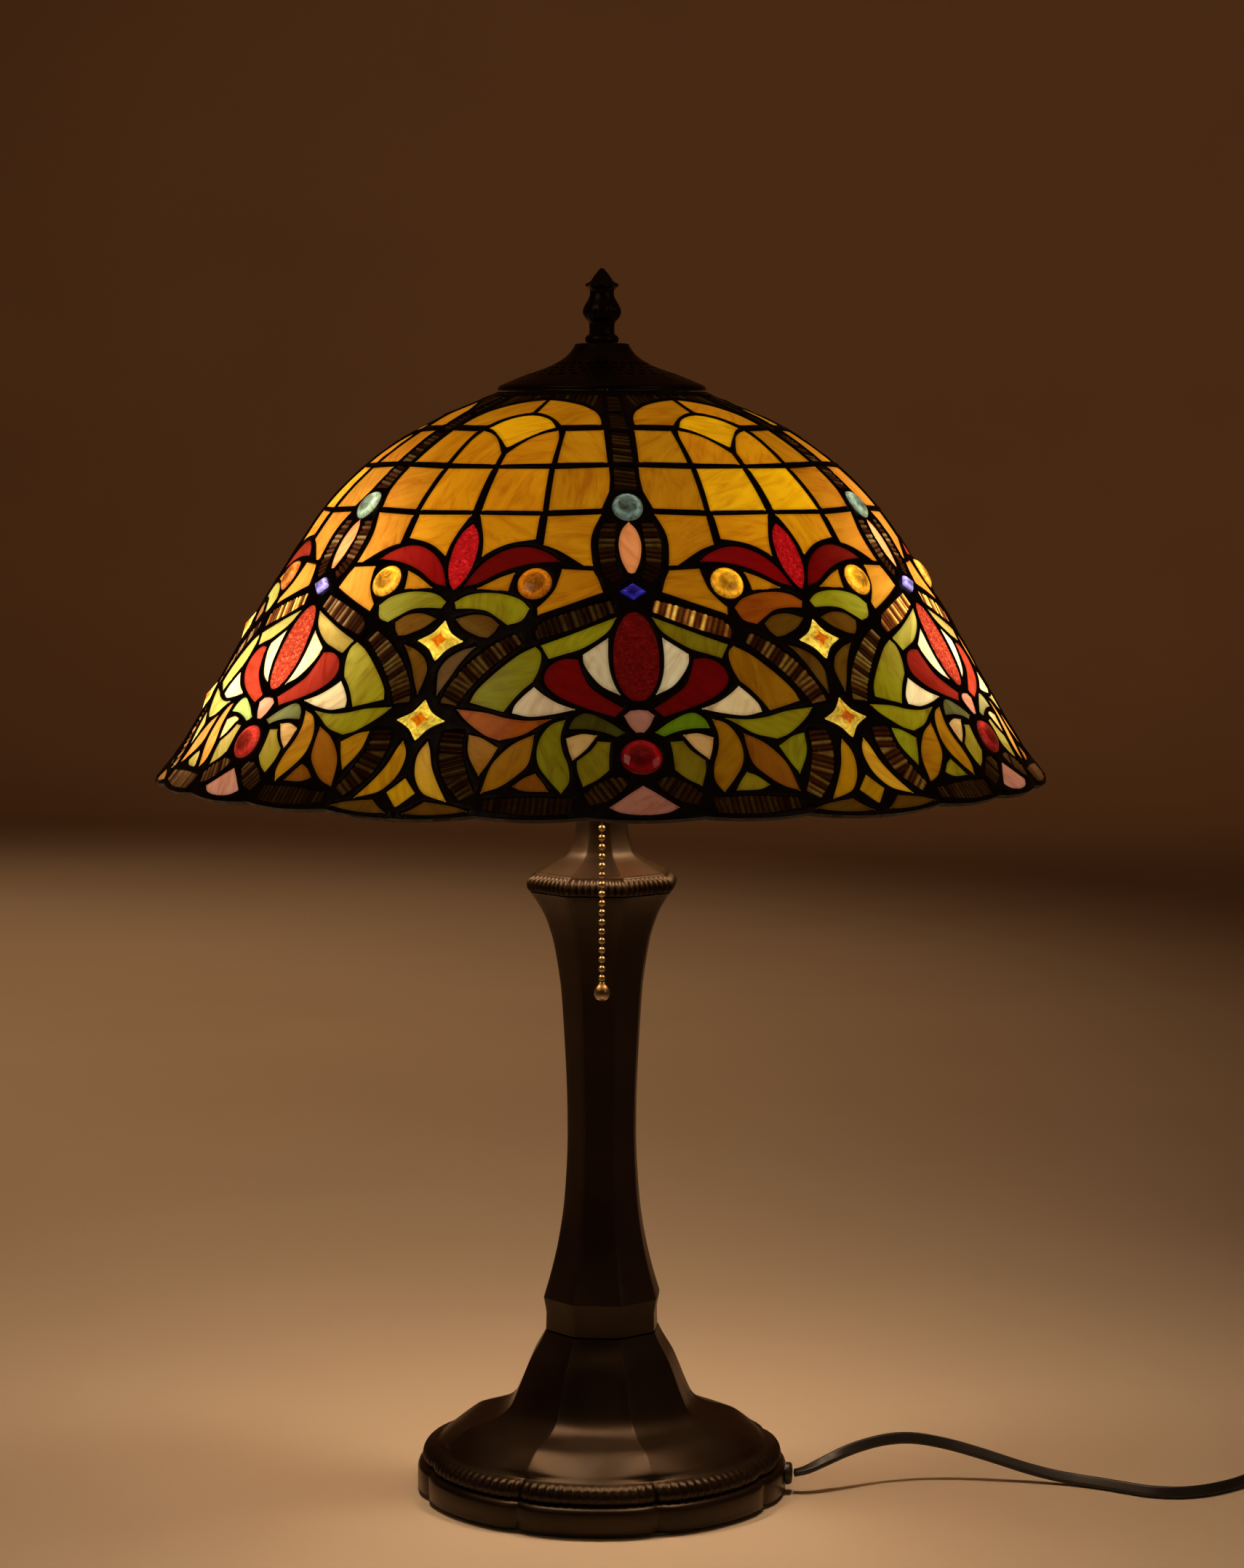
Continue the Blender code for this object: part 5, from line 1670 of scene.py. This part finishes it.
CLUSTER_CENTRE = 0.396
SOCKET_LEAN = 75.0
THREAD_PITCH = 0.0028
THREAD_BOTTOM = 0.0466
THREAD_TOP = 0.0672
BULB_CENTRE = 0.1070
BULB_RADIUS = 0.0240
BULB_WALL = 0.0012
BULB_NECK = ((0.0162, 0.0872), (0.0143, 0.0810), (0.0129, 0.0735))
BULB_MOUTH = ((0.0125, 0.0700), (0.0113, 0.0700), (0.0117, 0.0735), (0.0133, 0.0815))
BASE_TOP = ((0.0, 0.0697), (0.0122, 0.0697), (0.0128, 0.0692), (0.0130, 0.0680))
BASE_TIP = ((0.0118, 0.0458), (0.0070, 0.0450), (0.0060, 0.0446), (0.0046, 0.0430), (0.0, 0.0428))
CUP_OUTLINE = (
    (0.0195, 0.4072), (0.0199, 0.4076), (0.0199, 0.4084), (0.0194, 0.4087), (0.0176, 0.4087),
    (0.0175, 0.3830), (0.0053, 0.3830), (0.0053, 0.3810), (0.0120, 0.3810), (0.0130, 0.3806),
    (0.0172, 0.3807), (0.0186, 0.3812), (0.0194, 0.3824), (0.0195, 0.3840),
)
COVER_OUTLINE = (
    (0.0036, 0.4168), (0.0075, 0.4168), (0.0082, 0.4163), (0.0086, 0.4155), (0.0125, 0.4150),
    (0.0160, 0.4139), (0.0183, 0.4123), (0.0194, 0.4108), (0.0196, 0.4092), (0.0036, 0.4090),
)
SOCKET_CAP = (
    (0.0053, 0.0262), (0.0085, 0.0262), (0.0090, 0.0268), (0.0100, 0.0278), (0.0128, 0.0294),
    (0.0152, 0.0308), (0.0163, 0.0320), (0.0166, 0.0334), (0.0165, 0.0362), (0.0168, 0.0366),
    (0.0168, 0.0373), (0.0164, 0.0375), (0.0145, 0.0375), (0.0145, 0.0322), (0.0078, 0.0282),
    (0.0053, 0.0282),
)
SOCKET_SHELL = (
    (0.0030, 0.0378), (0.0162, 0.0378), (0.0165, 0.0382), (0.0165, 0.0418), (0.0168, 0.0421),
    (0.0165, 0.0424), (0.0165, 0.0430), (0.0168, 0.0433), (0.0165, 0.0436), (0.0165, 0.0660),
    (0.0169, 0.0666), (0.0169, 0.0676), (0.0164, 0.0683), (0.0162, 0.0690), (0.0148, 0.0690),
    (0.0146, 0.0684), (0.0146, 0.0395), (0.0030, 0.0395),
)


def lamp_holder_turn(side):
    """Where a lamp holder stands: side 1 is the right one and -1 the left one."""
    tilt = Matrix.Rotation(side * math.radians(SOCKET_LEAN), 4, "Y")
    return Matrix.Translation((0.0, 0.0, CLUSTER_CENTRE)) @ tilt


def bulb_outline():
    """The envelope, thin and open at its neck, with a ball of 48 mm that runs smoothly into the neck."""
    ball = []
    for degrees in range(6, 127, 6):
        angle = math.radians(degrees)
        ball.append((BULB_RADIUS * math.sin(angle), BULB_CENTRE + BULB_RADIUS * math.cos(angle)))
    neck = smooth_points([(*ball[-1], 0.0), *[(*spot, 0.0) for spot in BULB_NECK]], 4)
    shrink = 1.0 - BULB_WALL / BULB_RADIUS
    inner = [(radius * shrink, BULB_CENTRE + (height - BULB_CENTRE) * shrink) for radius, height in ball]
    return [
        (0.0, BULB_CENTRE + BULB_RADIUS), *ball, *[tuple(spot.xy) for spot in neck[1:]], *BULB_MOUTH,
        *reversed(inner), (0.0, BULB_CENTRE + BULB_RADIUS - BULB_WALL),
    ]


def thread_radius(degrees, radius, height):
    """A rolled screw thread along the bulb's base."""
    if not THREAD_BOTTOM < height < THREAD_TOP:
        return radius
    wave = math.cos(2 * math.pi * (height / THREAD_PITCH - degrees / 360.0))
    return radius - 0.0004 * (1.0 - wave)


def base_outline():
    """The screw base from its top down: an edge, the threaded wall, and the contact at its tip."""
    wall = [(0.0132, THREAD_TOP - 0.0005 * k) for k in range(42)]
    return [*BASE_TOP, *wall, *BASE_TIP]


def make_lamp_holder(side, word):
    """One socket with its bulb, modelled upright and then leant into place."""
    cap = turned(f"holder_cap_{word}", SOCKET_CAP, AGED_BRASS, ring=True)
    shell = turned(f"holder_shell_{word}", SOCKET_SHELL, AGED_BRASS, ring=True)
    base = turned(f"screw_base_{word}", base_outline(), NICKEL, radius_at=thread_radius)
    glass = turned(f"bulb_{word}", bulb_outline(), BULB, 64)
    for item in (cap, shell, base, glass):
        item.matrix_world = lamp_holder_turn(side)
    glass.visible_shadow = False
    place(cap, "stand", "socket_shell", f"socket_cap_{word}")
    place(shell, "stand", "socket_shell", f"socket_shell_{word}")
    place(base, f"bulb_{word}", "nickel", f"bulb_base_{word}")
    place(glass, f"bulb_{word}", "bulb_glass", f"bulb_glass_{word}")


def make_cluster():
    """The cup that carries the lamp holders, its cover, and both lamp holders."""
    place(turned("holder_cup", CUP_OUTLINE, BRONZE, 64, ring=True), "stand", "bronze", "cluster_cup")
    place(turned("holder_cover", COVER_OUTLINE, BRONZE, 64, ring=True), "stand", "bronze", "cluster_cover")
    for side, word in ((-1, "left"), (1, "right")):
        make_lamp_holder(side, word)


STEM_OUTLINE = (
    (0.0, 0.0230), (0.0017, 0.0230), (0.0018, 0.0228), (0.0018, 0.0042), (0.0020, 0.0036), (0.0022, 0.0031),
    (0.0021, 0.0026), (0.0018, 0.0022), (0.0, 0.0021),
)
BELL_OUTLINE = (
    (0.0026, 0.0072), (0.0040, 0.0072), (0.0040, 0.0058), (0.0036, 0.0054), (0.0035, 0.0042),
    (0.0038, 0.0034), (0.0042, 0.0030), (0.0041, 0.0026), (0.0034, 0.0026), (0.0026, 0.0036),
)
BEAD_PITCH = 0.0043
BEAD_RADIUS = 0.0016
BEAD_SEAT = 0.0013
LINK_OUTLINE = ((0.0, 0.0), (0.00055, 0.0), (0.00045, 0.0011), (0.00055, 0.0023), (0.0, 0.0023))
BEADS = 31
KNOB_OUTLINE = (
    (0.0, 0.0), (0.0010, -0.0001), (0.0015, -0.0005), (0.0017, -0.0012), (0.0024, -0.0020),
    (0.0032, -0.0032), (0.0035, -0.0044), (0.0036, -0.0058), (0.0033, -0.0068), (0.0027, -0.0080),
    (0.0015, -0.0088), (0.0, -0.0090),
)


def bead_outline(height):
    """A bead: a ball with a slight seat where each link goes in."""
    angles = [math.radians(degrees) for degrees in range(24, 157, 12)]
    ball = [(BEAD_RADIUS * math.sin(angle), height + BEAD_RADIUS * math.cos(angle)) for angle in angles]
    return [(0.0, height + BEAD_SEAT), *ball, (0.0, height - BEAD_SEAT)]


def at_pivot(item, body, slot, *nodes):
    """Places a piece that is modelled around the chain's pivot."""
    item.location = (0.0, CHAIN_Y, CHAIN_PIVOT_Z)
    return place(item, body, slot, *nodes)


def make_chain():
    """The pull chain: beads on short links, under a swivel bead, down to its knob."""
    swivel = turned("chain_swivel_bead", bead_outline(0.0), BRASS, 20)
    at_pivot(swivel, "chain_swivel", "brass", "chain_swivel")
    beads, links = [], []
    for number in range(1, BEADS + 1):
        beads.append(turned(f"bead_{number}", bead_outline(-BEAD_PITCH * number), BRASS, 20))
        top = -BEAD_PITCH * number - 0.0010
        outline = [(radius, top - drop) for radius, drop in LINK_OUTLINE]
        links.append(turned(f"link_{number}", outline, BRASS, 10))
    at_pivot(joined([*beads, *links], "ball_chain"), "chain", "brass", "pull_chain")
    top = -BEAD_PITCH * BEADS - 0.00155
    knob = turned("bell_knob", [(radius, top + height) for radius, height in KNOB_OUTLINE], BRASS, 40)
    at_pivot(knob, "chain", "brass", "chain_knob")


def joined(items, name):
    """One object from several that share a finish."""
    points, faces = [], []
    for item in items:
        first = len(points)
        points += [vertex.co.copy() for vertex in item.data.vertices]
        faces += [tuple(first + number for number in face.vertices) for face in item.data.polygons]
    made = sharpen(new_object(name, points, faces, items[0].active_material))
    for item in items:
        bpy.data.objects.remove(item)
    return made


def make_switch():
    """The pull switch's stem, and the bell mouth that it slides in."""
    at_pivot(turned("pull_stem", STEM_OUTLINE, BRASS, 28), "switch_stem", "brass", "switch_stem")
    bell = turned("switch_bell", BELL_OUTLINE, BRASS, 36, ring=True)
    at_pivot(bell, "stand", "brass")


# ---------------------------------------------------------------- the CAD nodes that stay

KEPT_FINISHES = {
    "bronze": BRONZE,
    "brass": BRASS,
    "steel": STEEL,
    "iron": IRON,
    "felt": FELT,
    "lead_rubber": LEAD_RUBBER,
    "black_plastic": PLASTIC,
    "nickel": NICKEL,
    "socket_shell": AGED_BRASS,
}


def finish_kept_nodes():
    """Gives each CAD node its finish by the name of the one that it has."""
    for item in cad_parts.values():
        for slot in item.material_slots:
            name = slot.material.name.split(".")[0]
            if name in KEPT_FINISHES:
                slot.material = KEPT_FINISHES[name]


random.seed(11)
make_camera()
make_floor()
make_lights()
make_shade()
make_vase_cap()
make_finial()
make_foot()
make_column()
make_neck()
make_cluster()
make_switch()
make_chain()
make_cord_set()
finish_kept_nodes()
